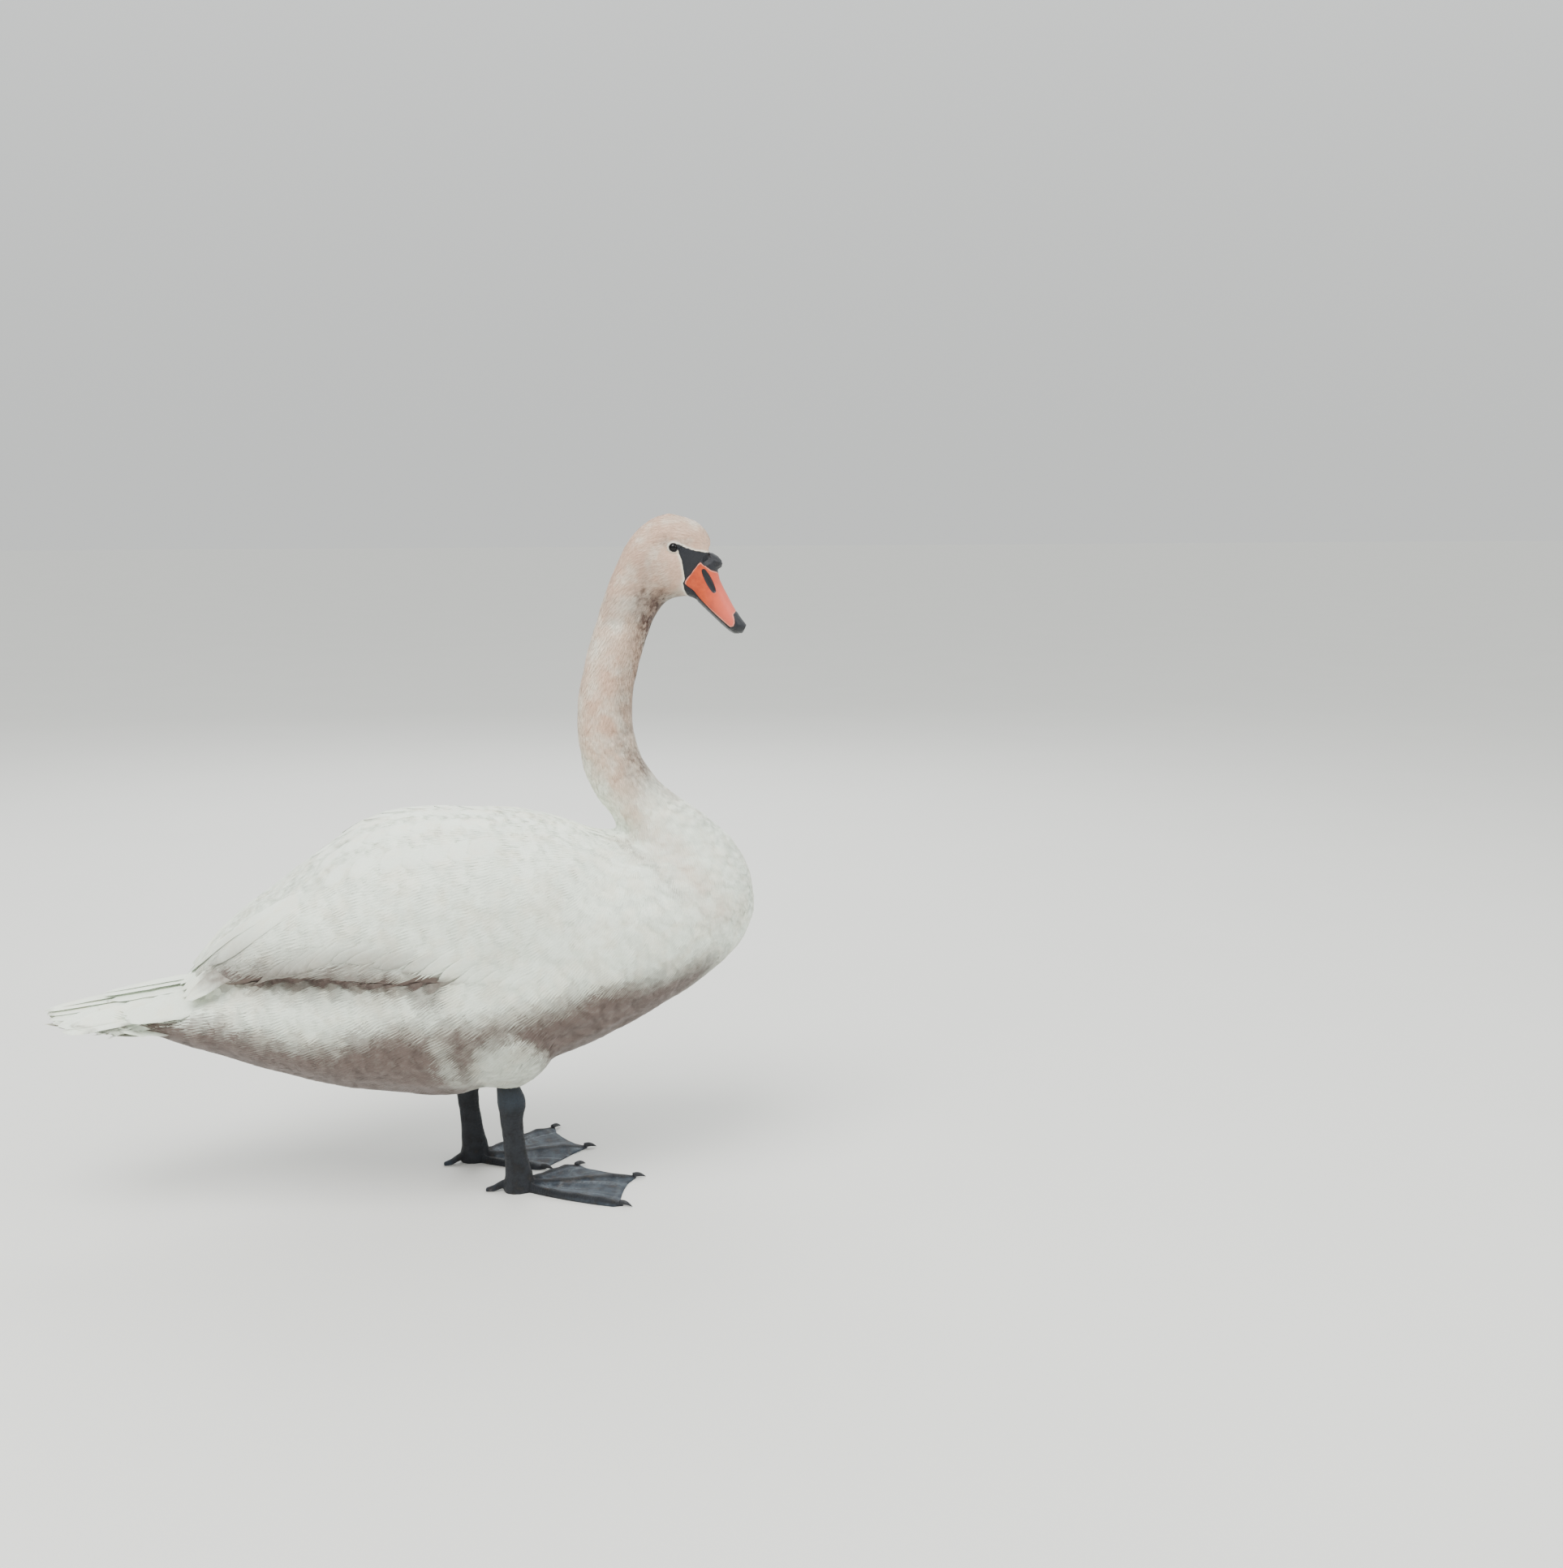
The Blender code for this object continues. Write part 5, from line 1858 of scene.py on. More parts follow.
PLUME_ROWS = {
    "back": PlumeRow(
        7, ((0.045, 82.0), (-0.130, 80.0)), ((-0.035, 79.0), (-0.205, 76.0)), 0.017, round_back=True
    ),
    "scapulars_high": PlumeRow(
        7, ((0.040, 66.0), (-0.120, 62.0)), ((-0.040, 57.0), (-0.200, 50.0)), 0.018, round_back=True
    ),
    "scapulars_low": PlumeRow(
        7, ((0.050, 46.0), (-0.110, 44.0)), ((-0.030, 35.0), (-0.190, 27.0)), 0.017, round_back=True
    ),
    "coverts_high": PlumeRow(
        7, ((0.060, 0.410), (-0.110, 0.414)), ((-0.025, 0.372), (-0.195, 0.362)), 0.0175,
        rise=0.0012, layer=-0.0006
    ),
    "coverts_low": PlumeRow(
        7, ((0.050, 0.366), (-0.140, 0.374)), ((-0.035, 0.330), (-0.225, 0.324)), 0.0165,
        rise=0.0014, layer=-0.0006
    ),
    "edge": PlumeRow(
        11, ((0.000, 0.340), (-0.190, 0.346)), ((-0.070, 0.304), (-0.272, 0.299)), 0.0090,
        rise=0.0036, point=0.55, loose=0.10
    ),
    "tertials": PlumeRow(
        2, ((-0.135, 0.415), (-0.150, 0.430)), ((-0.345, 0.294), (-0.3235, 0.3085)), 0.0170,
        rise=0.0060, bend=-3.0, tuck=0.95
    ),
    "inner_tertials": PlumeRow(
        2, ((-0.140, 48.0), (-0.130, 59.0)), ((-0.342, 50.0), (-0.342, 60.0)), 0.0150,
        rise=0.0020, round_back=True, tuck=0.9
    ),
    "flank": PlumeRow(
        6, ((0.105, 0.318), (0.030, 0.338)), ((0.010, 0.284), (-0.072, 0.298)), 0.0100,
        rise=0.0030, layer=-0.0004, point=0.6, loose=0.16
    ),
    "flank_low": PlumeRow(
        5, ((0.085, 0.290), (-0.030, 0.292)), ((-0.005, 0.258), (-0.120, 0.258)), 0.0105,
        rise=0.0012, layer=-0.0008, point=0.6, loose=0.16
    ),
}


@dataclass(frozen=True)
class TailRow:
    """A fan of tail feathers on each side, from the middle outwards."""

    count: int
    roots: tuple[Spot, Spot]
    tips: tuple[Spot, Spot]
    width: float
    arch: float = 0.0
    point: float = 0.42
    loose: float = 0.02
    rolls: Place = (0.0, 0.3)


TAIL_FANS = {
    "rectrices_high": TailRow(
        6, ((-0.372, 0.004, 0.2680), (-0.372, 0.038, 0.2590)),
        ((-0.5195, 0.006, 0.2560), (-0.4900, 0.050, 0.2440)),
        0.0155, arch=0.0045, rolls=(0.06, 0.66)
    ),
    "rectrices_low": TailRow(
        5, ((-0.380, 0.005, 0.2370), (-0.380, 0.036, 0.2430)),
        ((-0.5165, 0.010, 0.2420), (-0.4800, 0.048, 0.2440)),
        0.0120, arch=-0.0035
    ),
    "primaries": TailRow(
        4, ((-0.255, 0.040, 0.3560), (-0.255, 0.088, 0.3260)),
        ((-0.3640, 0.018, 0.2800), (-0.3560, 0.062, 0.2760)),
        0.0115, arch=0.0070, point=0.35, rolls=(0.45, 1.05)
    ),
    "coverts_high": TailRow(
        6, ((-0.325, 0.004, 0.2860), (-0.330, 0.050, 0.2660)),
        ((-0.4500, 0.006, 0.2680), (-0.4200, 0.056, 0.2540)),
        0.0160, arch=0.0016, point=0.6, loose=0.05, rolls=(0.08, 0.78)
    ),
    "coverts_low": TailRow(
        5, ((-0.345, 0.004, 0.2290), (-0.350, 0.042, 0.2350)),
        ((-0.4560, 0.008, 0.2230), (-0.4300, 0.052, 0.2380)),
        0.0125, arch=-0.0020, point=0.5, loose=0.10
    ),
}


@dataclass
class Plumes:
    """Large feathers of the back, wings, flanks and tail, laid over the small ones."""

    skin: Object
    rows: int = 13
    columns: int = 7
    thickness: float = 0.0007
    camber: float = 0.0008
    tail_camber: float = 0.00028
    tilt: float = 0.0005
    scatter: Place = (0.002, 0.5)
    tail_scatter: float = 0.0012
    mark_share: float = 0.8
    clear: float = 0.3
    aside: float = 0.4
    ground: Array = blank()
    corners: Array = blank()
    tree: bvhtree.BVHTree | None = None
    rng: np.random.Generator = field(default_factory=lambda: np.random.default_rng(71))
    along: Array = blank(1)
    across: Array = blank(1)
    points: list[Array] = field(default_factory=list)
    faces: list[Array] = field(default_factory=list)
    outward: list[Array] = field(default_factory=list)
    vane: list[Array] = field(default_factory=list)
    tint: list[Array] = field(default_factory=list)

    def build(self, finish: Material) -> Object:
        """Make all the large feathers as one plain mesh.

        Args:
            finish: Material of the feathers.

        Returns:
            The piece.
        """
        data = self.skin.data
        self.ground = FRAME.body(read_points(data))
        self.corners = np.array([tuple(p.vertices)[:3] for p in data.polygons])
        self.tree = bvhtree.BVHTree.FromPolygons([Vector(p) for p in self.ground], self.corners.tolist())
        self.along = np.linspace(0.0, 1.0, self.rows)[:, None]
        self.across = np.linspace(-1.0, 1.0, self.columns)
        for side in Side:
            for row in PLUME_ROWS.values():
                for number in range(row.count):
                    self.lay(row, number, side)
            for fan in TAIL_FANS.values():
                for number in range(fan.count):
                    self.spread(fan, number, side)
        mesh = bpy.data.meshes.new("large_feathers")
        points = np.vstack(self.points)
        mesh.from_pydata(FRAME.from_body(points).tolist(), [], np.vstack(self.faces).tolist())
        mesh.update()
        work = bmesh.new()
        work.from_mesh(mesh)
        bmesh.ops.recalc_face_normals(work, faces=work.faces)
        work.to_mesh(mesh)
        work.free()
        mesh.shade_smooth()
        store(mesh, "vane", np.vstack(self.vane), "FLOAT_VECTOR")
        store(mesh, "tint", np.concatenate(self.tint))
        store(mesh, "outward", np.vstack(self.outward), "FLOAT_VECTOR")
        self.copy_marks(mesh, points)
        soften_normals(mesh, 0.5)
        return dressed("large_feathers", mesh, finish)

    def copy_marks(self, mesh: Mesh, points: Array) -> None:
        """Carry the marks and painted shade of the skin on to the feathers above it.

        Args:
            mesh: The feathers.
            points: Their corners in the body's axes.
        """
        nearest = np.array([self.corners[self.tree.find_nearest(Vector(p))[2]][0] for p in points])
        for name in ("buff", "brown", "mauve"):
            values = read(self.skin.data.attributes[name].data, "value")
            store(mesh, name, values[nearest] * self.mark_share)

    def axis(self, x: Array) -> Array:
        """Height of the line that places round the body are turned about."""
        return np.interp(x, [-0.50, -0.42, -0.34, -0.26, -0.18], [0.240, 0.250, 0.262, 0.315, 0.360])

    def angle(self, place: Place) -> float:
        """Angle round the body of a place on its side.

        Args:
            place: Length and height of the place.

        Returns:
            The angle in degrees, from straight out to the side.
        """
        outside = Vector((place[0], -self.aside, place[1]))
        hit = self.tree.ray_cast(outside, Vector((0.0, 1.0, 0.0)), self.aside)
        width = 0.02 if hit[0] is None else -hit[0].y
        return math.degrees(math.atan2(place[1] - float(self.axis(place[0])), width))

    def foot(self, x: float, angle: float, side: Side) -> tuple[Array, Array]:
        """Find the skin at a length and an angle round the body.

        Args:
            x: The length.
            angle: The angle in degrees.
            side: Side of the bird.

        Returns:
            The place on the skin, and its normal there.
        """
        turn = math.radians(angle)
        middle = Vector((x, 0.0, float(self.axis(x))))
        away = Vector((0.0, side.value * math.cos(turn), math.sin(turn)))
        hit = self.tree.ray_cast(middle + away * self.clear, -away, self.clear)
        if hit[0] is None:
            hit = self.tree.find_nearest(middle + away * 0.05)
        return np.array(hit[0]), np.array(hit[1])

    def profile(self, row: PlumeRow | TailRow) -> Array:
        """Places across a feather, narrowed to its root and its point.

        Args:
            row: Row of the feather.

        Returns:
            Distances from the shaft, one row for each place along it.
        """
        width = 0.35 + 0.65 * smooth(0.0, 0.35, self.along)
        past = np.clip((self.along - (1 - row.point)) / row.point, 0.0, 1.0)
        width = row.width * width * np.sqrt(np.maximum(1 - past ** 2.0, 0.0064))
        notch = self.rng.normal(0.0, row.loose, self.along.shape)
        return width * self.across * (1 + notch * np.abs(self.across) ** 3)

    def lay(self, row: PlumeRow, number: int, side: Side) -> None:
        """Lay one feather of a row on the skin.

        Args:
            row: The row.
            number: Number of the feather, from the front.
            side: Side of the bird.
        """
        share = number / max(row.count - 1, 1) + self.rng.uniform(-0.02, 0.02)
        ends = []
        for first, last in (row.roots, row.tips):
            if not row.round_back:
                first = (first[0], self.angle(first))
                last = (last[0], self.angle(last))
            ends.append(mixed(first, last, share) + self.rng.normal(0, 1, 2) * self.scatter)
        path = mixed(*ends, self.along)
        path[:, 1] += row.bend * np.sin(math.pi * self.along[:, 0])
        feet = [self.foot(x, angle, side) for x, angle in path]
        centre = np.array([foot[0] for foot in feet])
        normal = np.array([foot[1] for foot in feet])
        for _ in range(3):
            centre[1:-1] = 0.5 * centre[1:-1] + 0.25 * (centre[:-2] + centre[2:])
            normal[1:-1] = unit(normal[1:-1] + normal[:-2] + normal[2:])
        aside = unit(np.cross(normal, np.gradient(centre, axis=0)))
        grid = centre[:, None, :] + aside[:, None, :] * self.profile(row)[:, :, None]
        up = np.empty_like(grid)
        for i in range(self.rows):
            for j in range(self.columns):
                place, lean, _, _ = self.tree.find_nearest(Vector(grid[i, j]))
                keep = float(smooth(0.15, 0.60, np.dot(np.array(lean), normal[i])))
                grid[i, j] = np.array(place) * keep + grid[i, j] * (1 - keep)
                up[i, j] = unit(np.array(lean) * keep + normal[i] * (1.3 - keep))
        grid[1:-1] = 0.5 * grid[1:-1] + 0.25 * (grid[:-2] + grid[2:])
        up[1:-1] = unit(up[1:-1] + up[:-2] + up[2:])
        tucked = 1 - row.tuck * smooth(-0.4, 1.0, self.across * side.value)
        lift = row.layer + row.rise * self.along ** 1.4 * tucked
        lift = lift + self.camber * (1 - self.across ** 2) + self.tilt * self.across * side.value
        self.add(grid + up * lift[:, :, None], up)

    def spread(self, fan: TailRow, number: int, side: Side) -> None:
        """Set one feather of a tail fan.

        Args:
            fan: The fan.
            number: Number of the feather, from the middle.
            side: Side of the bird.
        """
        share = number / max(fan.count - 1, 1)
        ends = []
        for first, last in (fan.roots, fan.tips):
            spot = mixed(first, last, share) + self.rng.normal(0.0, self.tail_scatter, 3)
            ends.append(spot * (1.0, side.value, 1.0))
        centre = mixed(*ends, self.along)
        centre[:, 2] += fan.arch * np.sin(math.pi * self.along[:, 0]) - 0.0002 * number * np.sign(fan.arch)
        roll = mixed(*fan.rolls, share) * side.value
        aside = np.array([0.0, math.cos(roll), -math.sin(roll)])
        grid = centre[:, None, :] + aside * self.profile(fan)[:, :, None]
        up = np.array([0.0, math.sin(roll), math.cos(roll)]) * np.sign(fan.arch)
        up = np.broadcast_to(up, grid.shape)
        lift = self.tail_camber * (1 - self.across ** 2)
        self.add(grid + up * lift[:, None], up)

    def add(self, grid: Array, up: Array) -> None:
        """Add one closed vane.

        Args:
            grid: Places of its upper face.
            up: Direction away from the body at each.
        """
        rows, columns = self.rows, self.columns
        thin = self.thickness * (1.15 - self.across ** 2) * (1.05 - self.along ** 3)
        lower = grid - up * thin[:, :, None]
        start = sum(len(part) for part in self.points)
        numbers = start + np.arange(rows * columns).reshape(rows, columns)
        under = numbers + rows * columns
        quads = np.stack([numbers[:-1, :-1], numbers[1:, :-1], numbers[1:, 1:], numbers[:-1, 1:]], axis=-1)
        base = np.stack([under[:-1, :-1], under[:-1, 1:], under[1:, 1:], under[1:, :-1]], axis=-1)
        rim = np.concatenate([numbers[:, 0], numbers[-1, 1:], numbers[-2::-1, -1], numbers[0, -2:0:-1]])
        deep = rim + rows * columns
        wall = np.stack([rim, deep, np.roll(deep, -1), np.roll(rim, -1)], axis=-1)
        self.faces += [quads.reshape(-1, 4), base.reshape(-1, 4), wall]
        self.points += [grid.reshape(-1, 3), lower.reshape(-1, 3)]
        self.outward += [up.reshape(-1, 3), up.reshape(-1, 3)]
        plan = np.zeros((rows, columns, 3))
        plan[:, :, 0] = self.across
        plan[:, :, 1] = self.along
        self.vane += [plan.reshape(-1, 3), plan.reshape(-1, 3)]
        self.tint.append(np.full(2 * rows * columns, self.rng.uniform(-0.35, 0.35)))


def finish_piece(piece: Object, replaced: Sequence[str] = ()) -> None:
    """Put a finished piece on the bird and report it.

    Args:
        piece: The piece.
        replaced: Frame nodes that the piece stands for.
    """
    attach(piece, BODY)
    if replaced:
        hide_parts(*replaced)
    LOG.info("%s: %d faces", piece.name, len(piece.data.polygons))


# ---------------------------------------------------------------- bill, eyes, legs


@dataclass
class Bill:
    """Upper bill with its nail and knob in one horn, and the lower bill."""

    voxel: float = 0.0009
    nail: Profile = (
        (0.3046, 0.7050), (0.3058, 0.6995), (0.3060, 0.6945), (0.3045, 0.6905),
        (0.3000, 0.6888), (0.2940, 0.6890), (0.3040, 0.6650), (0.3400, 0.6700),
        (0.3400, 0.7200), (0.3125, 0.7130),
    )
    knob: Spot = (0.2818, 0.0, 0.7640)
    knob_size: float = 0.0125
    base: Profile = ((0.3000, 0.8170), (0.2430, 0.7440), (0.2575, 0.7262), (0.2575, 0.6900))
    wrinkle: float = 0.00055

    def refined(self, names: Sequence[str], rounds: int, grow: float) -> Mesh:
        """Fine even copy of frame nodes, with their joints closed and their facets smoothed.

        Args:
            names: Names of the nodes.
            rounds: Number of smoothing passes.
            grow: Distance by which they are swollen.

        Returns:
            A new mesh.
        """
        mesh = remeshed(merged_copy(names, grow), self.voxel)
        write_points(mesh, relaxed(read_points(mesh), read_edges(mesh), rounds))
        mesh.shade_smooth()
        return mesh

    def build(self, horn: Material, black: Material) -> None:
        """Make both halves of the bill.

        Args:
            horn: Material of the upper bill.
            black: Material of the lower bill.
        """
        whole = ["bill_upper", "bill_nail", "bill_knob"]
        for names, label, finish in ((whole, "upper_bill", horn), (["bill_lower"], "lower_bill", black)):
            mesh = self.refined(names, 7, 0.0006)
            points = read_points(mesh)
            normals = read_normals(mesh)
            face = FRAME.face(points)
            plane = face[:, (0, 2)]
            to_knob = np.linalg.norm(face - np.array(self.knob), axis=1)
            knob = smooth(self.knob_size * 1.15, self.knob_size * 0.85, to_knob) * (len(names) > 1)
            rise = -0.0003 - 0.0006 * smooth(0.005, 0.0, line_distance(plane, self.base)) * (1 - knob)
            past = outline_distance(plane, FACE.lore)
            rise -= 0.0026 * smooth(0.0, -0.0030, past) * (face[:, 0] < 0.281)
            round_top = face[:, 1] ** 2 / 0.026 * smooth(0.752, 0.762, face[:, 2])
            over = 0.92 * np.maximum(0.0, round_top - past - 0.0004) * smooth(0.266, 0.274, face[:, 0])
            folds = bumpy(face * np.array([1.0, 0.5, 2.0]), 0.0045, 2.0) + 0.5 * bumpy(face, 0.0022, 4.0)
            rise += self.wrinkle * folds * knob + 0.00012 * bumpy(face, 0.006, 6.0)
            if len(names) > 1:
                gap, share = segment_distance(plane, *FACE.slot)
                width = FACE.slot_width * (0.75 + 0.45 * np.sin(share * math.pi) ** 0.7)
                slot = smooth(1.0, 0.45, gap / width) * (np.abs(face[:, 1]) > 0.003)
                nail = outline_distance(plane, self.nail)
                rise -= FACE.slot_depth * slot
                rise += 0.0004 * smooth(0.0, 0.0018, nail) - 0.0003 * bell(nail, 0.0006)
                orange = np.minimum(outline_distance(plane, FACE.orange), -nail)
                orange = np.minimum(orange, (to_knob - self.knob_size * 0.90))
                store(mesh, "slot", np.where(np.abs(face[:, 1]) > 0.003, 1.0 - gap / width, -1.0))
                store(mesh, "orange", orange)
                store(mesh, "tip", smooth(0.262, 0.306, face[:, 0]))
            face = FRAME.face(points + normals * rise[:, None])
            face[:, (0, 2)] -= over[:, None] * np.array([0.47, 0.88])
            points = relaxed(FRAME.from_face(face), read_edges(mesh), 3, 0.5, smooth(0.0005, 0.002, over))
            write_points(mesh, points)
            piece = dressed(label, mesh, finish)
            finish_piece(piece, names)


@dataclass
class Eyes:
    """Two wet dark eyeballs set under the lids."""

    rings: int = 20
    sides: int = 32
    cornea: float = 0.0005
    cornea_reach: float = 0.55
    sclera_drop: float = 0.0001

    def build(self, finish: Material) -> None:
        """Make both eyeballs.

        Args:
            finish: Material of the eyes.
        """
        for side in Side:
            name = "eye_left" if side is Side.LEFT else "eye_right"
            work = bmesh.new()
            loops = []
            polar = []
            for ring in range(1, self.rings):
                along = math.pi * ring / self.rings
                bulge = self.cornea * math.exp(-((along / self.cornea_reach) ** 4))
                radius = FACE.eye_radius - self.sclera_drop + bulge
                loop = []
                for i in range(self.sides):
                    around = 2 * math.pi * i / self.sides
                    local = np.array([
                        radius * math.sin(along) * math.cos(around),
                        side.value * radius * math.cos(along),
                        radius * math.sin(along) * math.sin(around),
                    ])
                    loop.append(work.verts.new(self.place(side, local)))
                    polar.append(along)
                loops.append(loop)
            peak = FACE.eye_radius - self.sclera_drop + self.cornea
            front = work.verts.new(self.place(side, np.array([0.0, side.value * peak, 0.0])))
            back = work.verts.new(self.place(side, np.array([0.0, -side.value * FACE.eye_radius, 0.0])))
            polar += [0.0, math.pi]
            for i in range(self.sides):
                j = (i + 1) % self.sides
                work.faces.new((front, loops[0][i], loops[0][j]))
                work.faces.new((back, loops[-1][j], loops[-1][i]))
                for low, high in zip(loops, loops[1:]):
                    work.faces.new((low[i], high[i], high[j], low[j]))
            bmesh.ops.recalc_face_normals(work, faces=work.faces)
            mesh = plain_mesh(work, name)
            store(mesh, "gaze", np.array(polar) / (math.pi / 2))
            mesh.shade_smooth()
            finish_piece(dressed("ball_" + name, mesh, finish), [name])

    def place(self, side: Side, local: Array) -> Vector:
        """Place in the frame of a point on an eyeball."""
        return Vector(FRAME.from_face((FACE.eyeball(side) + local)[None, :])[0])


@dataclass
class Legs:
    """Bare legs and webbed feet with scutes, knuckles and creases, and the claws."""

    voxel: float = 0.00125
    offset: float = 0.052
    heel: float = 0.018
    left_shift: float = -0.046
    left_turn: float = 4.0
    angles: Spot = (-34.0, 0.0, 33.0)
    lengths: Spot = (0.146, 0.150, 0.100)
    bow: float = 0.22
    toe_width: float = 0.0055
    scute: float = 0.0034
    scute_rise: float = 0.00045
    knuckle_rise: float = 0.0011
    knuckle_width: float = 0.008
    fold_rise: float = 0.00075
    shank_band: float = 0.0042
    band_rise: float = 0.00035
    ankle_height: float = 0.121
    knuckles: tuple[float, ...] = (0.34, 0.58, 0.80)
    claw_root: float = 0.0050
    claw_reach: float = 0.0118
    claw_radius: float = 0.0030
    claw_point: float = 0.00025
    claw_height: float = 0.0042
    claw_arch: float = 0.0013
    claw_fall: float = 0.0030
    claw_rings: int = 10
    claw_sides: int = 14

    def build(self, finish: Material, claw: Material) -> None:
        """Make both legs with their claws.

        Args:
            finish: Material of the skin.
            claw: Material of the claws.
        """
        for side in Side:
            name = side.name.lower()
            mesh = remeshed(merged_copy(["leg_" + name, "foot_" + name], 0.0004), self.voxel)
            write_points(mesh, relaxed(read_points(mesh), read_edges(mesh), 3))
            self.carve(mesh, side)
            mesh.shade_smooth()
            piece = dressed("bare_leg_" + name, mesh, finish)
            finish_piece(piece, ["leg_" + name, "foot_" + name])
            for number, (line, length) in enumerate(zip(self.angles, self.lengths), start=1):
                self.claw(side, number, line, length, claw)

    def carve(self, mesh: Mesh, side: Side) -> None:
        """Shape the toes, the webs and the scaly shank.

        Args:
            mesh: The leg with its foot.
            side: Side of the bird.
        """
        points = read_points(mesh)
        normals = read_normals(mesh)
        body = FRAME.body(points)
        height = body[:, 2]
        turn, heel = self.stance(side)
        local = body[:, :2] - heel[:2]
        reach = np.hypot(local[:, 0], local[:, 1])
        angle = np.degrees((np.arctan2(local[:, 1], local[:, 0]) - turn) * -side.value)
        toe = np.zeros(len(points))
        scutes = np.zeros(len(points))
        swell = np.zeros(len(points))
        for line, length in zip(self.angles, self.lengths):
            share = reach / length
            bowed = line * (1 + self.bow * (1 - np.clip(share, 0.0, 1.0)))
            aside = np.abs(np.radians(angle - bowed)) * reach
            near = smooth(self.toe_width * 1.25, self.toe_width * 0.55, aside)
            near *= (share > 0.12) * (share < 1.05)
            toe = np.maximum(toe, near)
            step = (reach / self.scute + 0.25 * np.sin(aside * 900)) % 1.0
            scutes = np.maximum(scutes, near * np.where(step < 0.8, step / 0.8, (1 - step) / 0.2))
            for knuckle in self.knuckles:
                swell = np.maximum(swell, near * bell((share - knuckle) * length, self.knuckle_width))
        top = smooth(0.0008, 0.0022, height) * (normals[:, 2] > 0.1)
        low = smooth(0.030, 0.018, height)
        web = low * (1 - toe) * smooth(0.020, 0.035, reach)
        folds = bumpy(np.column_stack([angle * 0.16, reach * 9.0, angle * 0.0]), 1.0, 7.0)
        cross = bumpy(np.column_stack([angle * 0.02, reach * 130.0, angle * 0.0]), 1.0, 9.0)
        rise = self.scute_rise * scutes + self.knuckle_rise * swell
        rise += web * (self.fold_rise * folds + 0.00028 * cross)
        shank = smooth(0.022, 0.032, height)
        bands = (height / self.shank_band + 0.4 * bumpy(body, 0.01, 3.0)) % 1.0
        front = smooth(-0.2, 0.5, normals[:, 0])
        scales = self.band_rise * front * np.sin(bands * math.pi) + 0.0006 * bumpy(body, 0.012, 5.0)
        rise = rise * top + shank * scales
        moved = points + normals * rise[:, None]
        moved[:, 2] = np.maximum(moved[:, 2], 0.0)
        write_points(mesh, moved)
        store(mesh, "web", web)
        # Pale streaks on the web's folds, kept for a painted highlight.
        streaks = bumpy(np.column_stack([angle * 0.35, reach * 22.0, angle * 0.0]), 1.0, 15.0)
        crease = (np.maximum(folds, cross) + smooth(0.25, 0.7, streaks)) * web * 1.2
        store(mesh, "crease", np.clip(crease, 0.0, 1.0))
        store(mesh, "low", smooth(0.045, 0.004, height))
        store(mesh, "knuckle", bell(height - self.ankle_height, 0.013))

    def stance(self, side: Side) -> tuple[float, Array]:
        """Turn of a foot, and the place of its heel on the ground.

        Args:
            side: Side of the bird.

        Returns:
            The turn in radians, and the place in the body's axes.
        """
        left = side is Side.LEFT
        heel = np.array([self.heel + (self.left_shift if left else 0.0), side.value * self.offset, 0.0])
        return math.radians(self.left_turn) * left, heel

    def claw(self, side: Side, number: int, line: float, length: float, finish: Material) -> None:
        """Make one curved claw, rooted in the end of its toe.

        Args:
            side: Side of the bird.
            number: Toe number, from the outer toe.
            line: Angle of the toe in degrees.
            length: Length of the toe.
            finish: Material of the claw.
        """
        turn, root = self.stance(side)
        turn += math.radians(line) * -side.value
        heading = np.array([math.cos(turn), math.sin(turn), 0.0])
        across = np.array([-heading[1], heading[0], 0.0])
        work = bmesh.new()
        loops = []
        for share in np.linspace(0.0, 1.0, self.claw_rings):
            reach = length - self.claw_root + (self.claw_root + self.claw_reach) * share
            centre = root + heading * reach
            arch = self.claw_arch * math.sin(math.pi * share) - self.claw_fall * share ** 2
            centre[2] = self.claw_height + arch
            radius = self.claw_radius * (1 - share ** 2.4) + self.claw_point
            loop = []
            for i in range(self.claw_sides):
                angle = 2 * math.pi * i / self.claw_sides
                spot = centre + across * (0.85 * radius * math.cos(angle))
                spot[2] += radius * math.sin(angle)
                spot[2] = max(spot[2], 0.0002)
                loop.append(work.verts.new(Vector(FRAME.from_body(spot))))
            loops.append(loop)
        for low, high in zip(loops, loops[1:]):
            for i in range(self.claw_sides):
                j = (i + 1) % self.claw_sides
                work.faces.new((low[i], low[j], high[j], high[i]))
        work.faces.new(loops[0])
        work.faces.new(list(reversed(loops[-1])))
        bmesh.ops.recalc_face_normals(work, faces=work.faces)
        mesh = plain_mesh(work, "claw")
        mesh.shade_smooth()
        name = "claw_%s_%d" % (side.name.lower(), number)
        finish_piece(dressed("toe_" + name, mesh, finish), [name])


# ---------------------------------------------------------------- stage


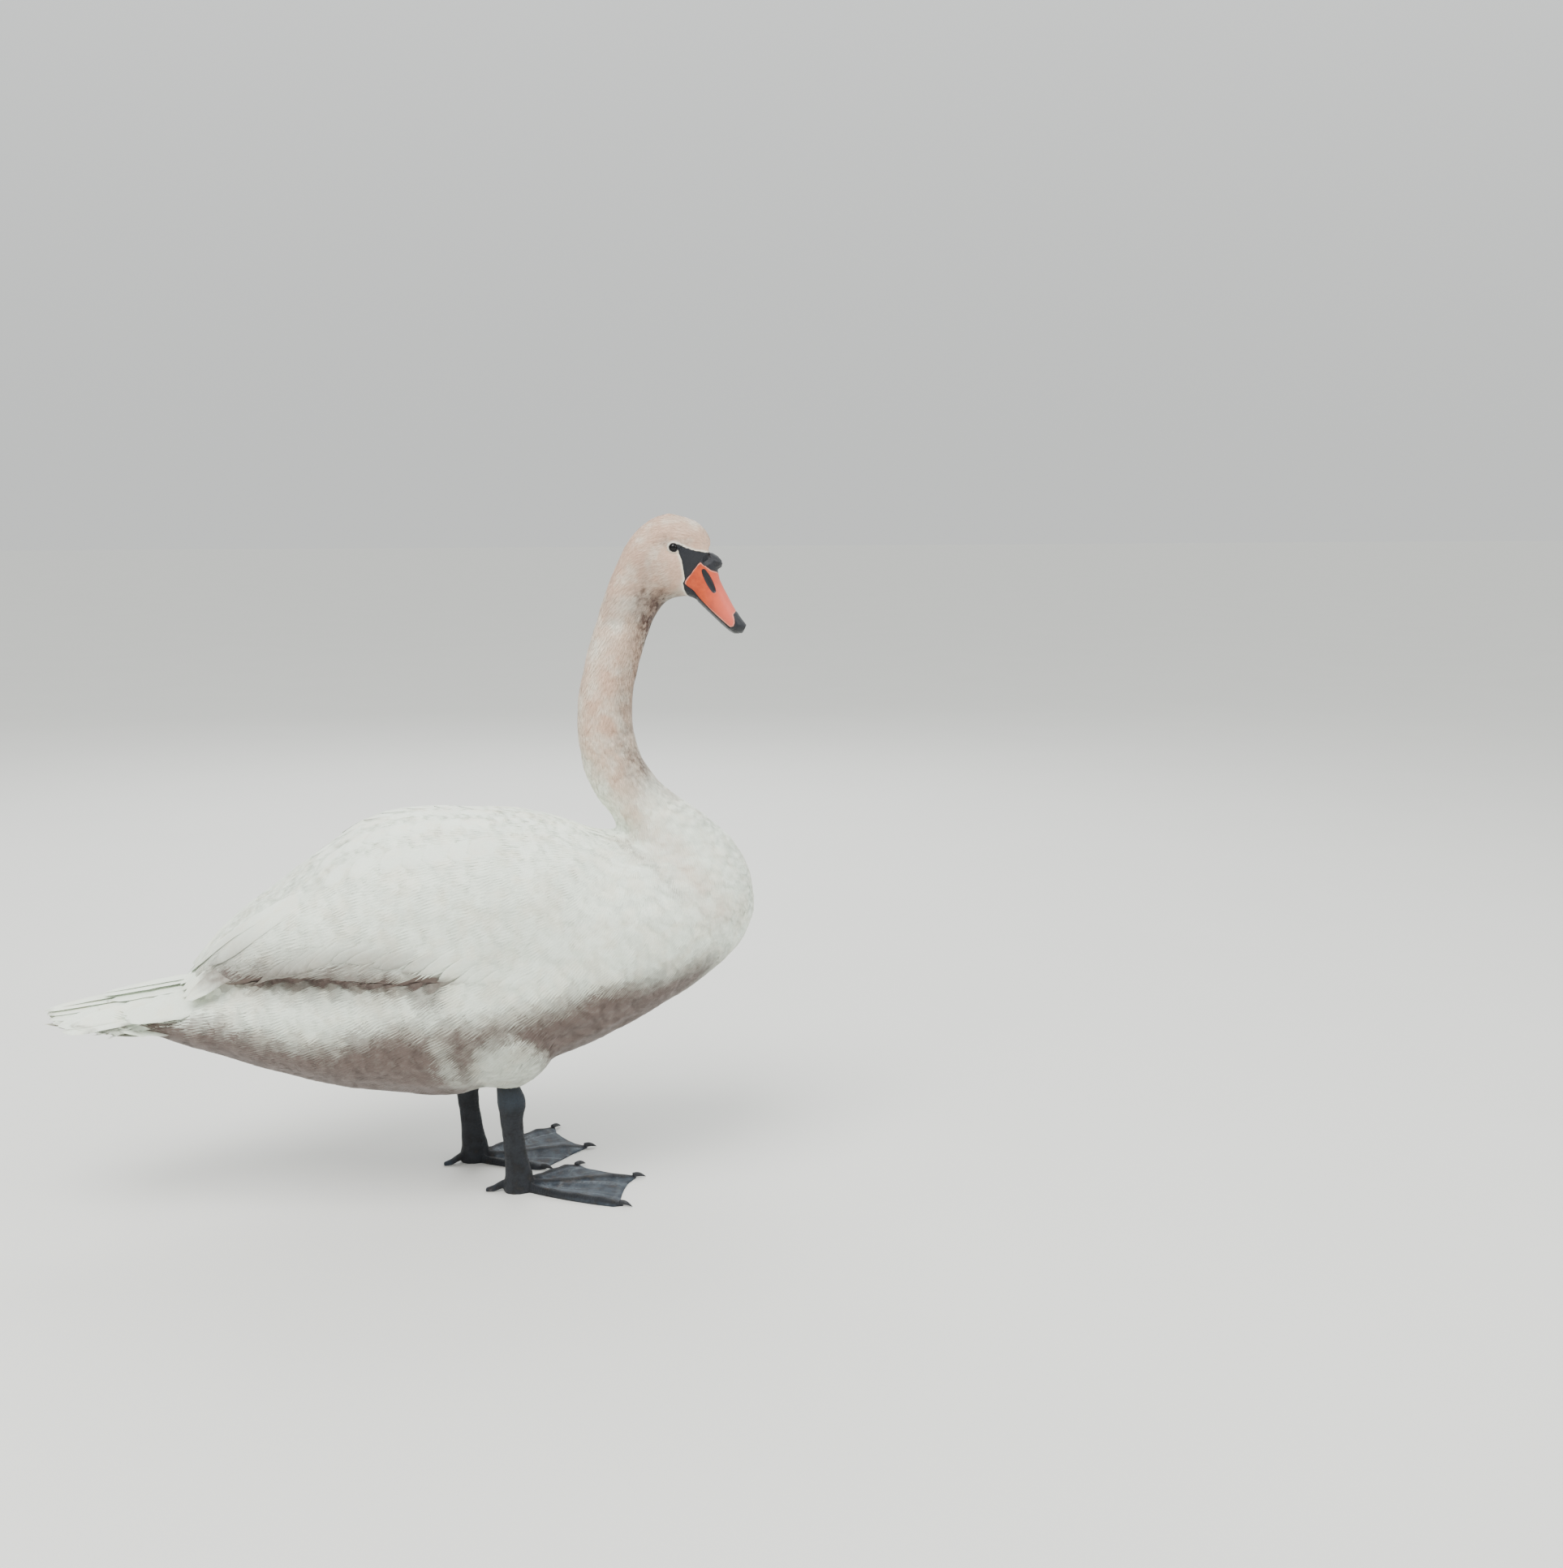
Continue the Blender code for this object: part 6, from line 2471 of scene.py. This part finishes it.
@dataclass
class Studio:
    """Floor, soft light and camera."""

    eye_place: Spot = (-0.1415, -2.0480, 0.84)
    forward: Spot = (0.2386, 0.9570, -0.1652)
    lens: float = 38.70
    floor_half: float = 30.0
    haze: Colour = (0.598, 0.613, 0.603, 1.0)
    zenith: Colour = (0.93, 0.95, 0.94, 1.0)
    sky_strength: float = 1.35
    aim: Spot = (0.0, 0.0, 0.35)
    lamp_side: float = 2.4

    def build(self, finish: Material) -> None:
        """Make the floor, the lights and the camera.

        Args:
            finish: Material of the floor.
        """
        work = bmesh.new()
        bmesh.ops.create_grid(work, x_segments=12, y_segments=12, size=self.floor_half)
        mesh = plain_mesh(work, "floor")
        mesh.materials.append(finish)
        floor = new_object("floor", mesh)
        floor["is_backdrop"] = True
        self.light("key", (-1.0, -1.7, 3.6), 200.0, (1.0, 0.99, 0.965))
        self.light("fill", (2.8, -1.6, 2.4), 45.0, (0.96, 0.985, 1.0))
        self.light("rim", (0.4, 2.8, 2.6), 80.0, (0.97, 0.99, 1.0))
        self.sky()
        self.camera()

    def sky(self) -> None:
        """Pale even surroundings, a little brighter overhead."""
        world = bpy.data.worlds.new("studio")
        world.use_nodes = True
        graph = Graph(world.node_tree)
        view = graph.add("ShaderNodeTexCoord").outputs["Generated"]
        height = graph.add("ShaderNodeSeparateXYZ", {0: view}).outputs[2]
        colour = graph.blend(graph.ranged(height, 0.0, 0.6), self.haze, self.zenith)
        graph.feed(world.node_tree.nodes["Background"], {"Color": colour, "Strength": self.sky_strength})
        bpy.context.scene.world = world

    def light(self, name: str, place: Spot, power: float, colour: Spot) -> None:
        """Soft square lamp aimed at the bird.

        Args:
            name: Name of the lamp.
            place: Where it hangs.
            power: Strength in watts.
            colour: Tint of its light.
        """
        lamp = bpy.data.lights.new(name, "AREA")
        lamp.size = self.lamp_side
        lamp.energy = power
        lamp.color = colour
        obj = bpy.data.objects.new(name, lamp)
        obj.location = place
        away = Vector(self.aim) - Vector(place)
        obj.rotation_mode = "QUATERNION"
        obj.rotation_quaternion = away.to_track_quat("-Z", "Y")
        bpy.context.scene.collection.objects.link(obj)

    def camera(self) -> None:
        """Camera at standing height, to the bird's right."""
        data = bpy.data.cameras.new("camera")
        data.lens = self.lens
        data.sensor_width = 36.0
        camera = bpy.data.objects.new("camera", data)
        forward = Vector(self.forward).normalized()
        right = forward.cross(Vector((0.0, 0.0, 1.0))).normalized()
        up = right.cross(forward)
        turn = Matrix((right, up, -forward)).transposed()
        camera.matrix_world = Matrix.Translation(Vector(FRAME.from_body(self.eye_place))) @ turn.to_4x4()
        data.clip_end = 200.0
        bpy.context.scene.collection.objects.link(camera)
        bpy.context.scene.camera = camera


# ---------------------------------------------------------------- whole model


def main() -> None:
    """Build the swan and its studio."""
    logging.basicConfig(level=logging.INFO, format="%(name)s: %(message)s")
    FRAME.load()
    effects = Effects()
    finishes = {
        "skin": SkinFinish().make(effects),
        "down": PlumeFinish("down", streaks=7.0, slant=0.15).make(effects),
        "plumes": PlumeFinish("plumes", streaks=26.0, slant=0.5).make(effects),
        "vanes": PlumeFinish("vanes", streaks=60.0, slant=3.0, relief=0.00008).make(effects),
        "bill": BillFinish().make(effects),
        "horn": HornFinish("black_horn").make(effects),
        "eye": EyeFinish().make(effects),
        "leg": LegFinish().make(effects),
        "claw": HornFinish("claw_horn", rough=0.4).make(effects),
        "floor": FloorFinish().make(effects),
    }
    skin = Skin().build(finishes["skin"])
    finish_piece(skin, [name for name in NODE_REGION if not name.startswith("bill")])
    vanes = {name: shape.build() for name, shape in VANE_SHAPES.items()}
    coat = Coat(skin)
    for plan in COAT_PLANS:
        piece = coat.grow(plan, vanes[plan.vane], finishes[plan.finish])
        finish_piece(piece)
    for place in vanes.values():
        for obj in list(place.objects):
            dropped(obj)
        bpy.data.collections.remove(place)
    finish_piece(Plumes(skin).build(finishes["vanes"]))
    Bill().build(finishes["bill"], finishes["horn"])
    Eyes().build(finishes["eye"])
    Legs().build(finishes["leg"], finishes["claw"])
    Studio().build(finishes["floor"])


if __name__ == "__main__":
    main()
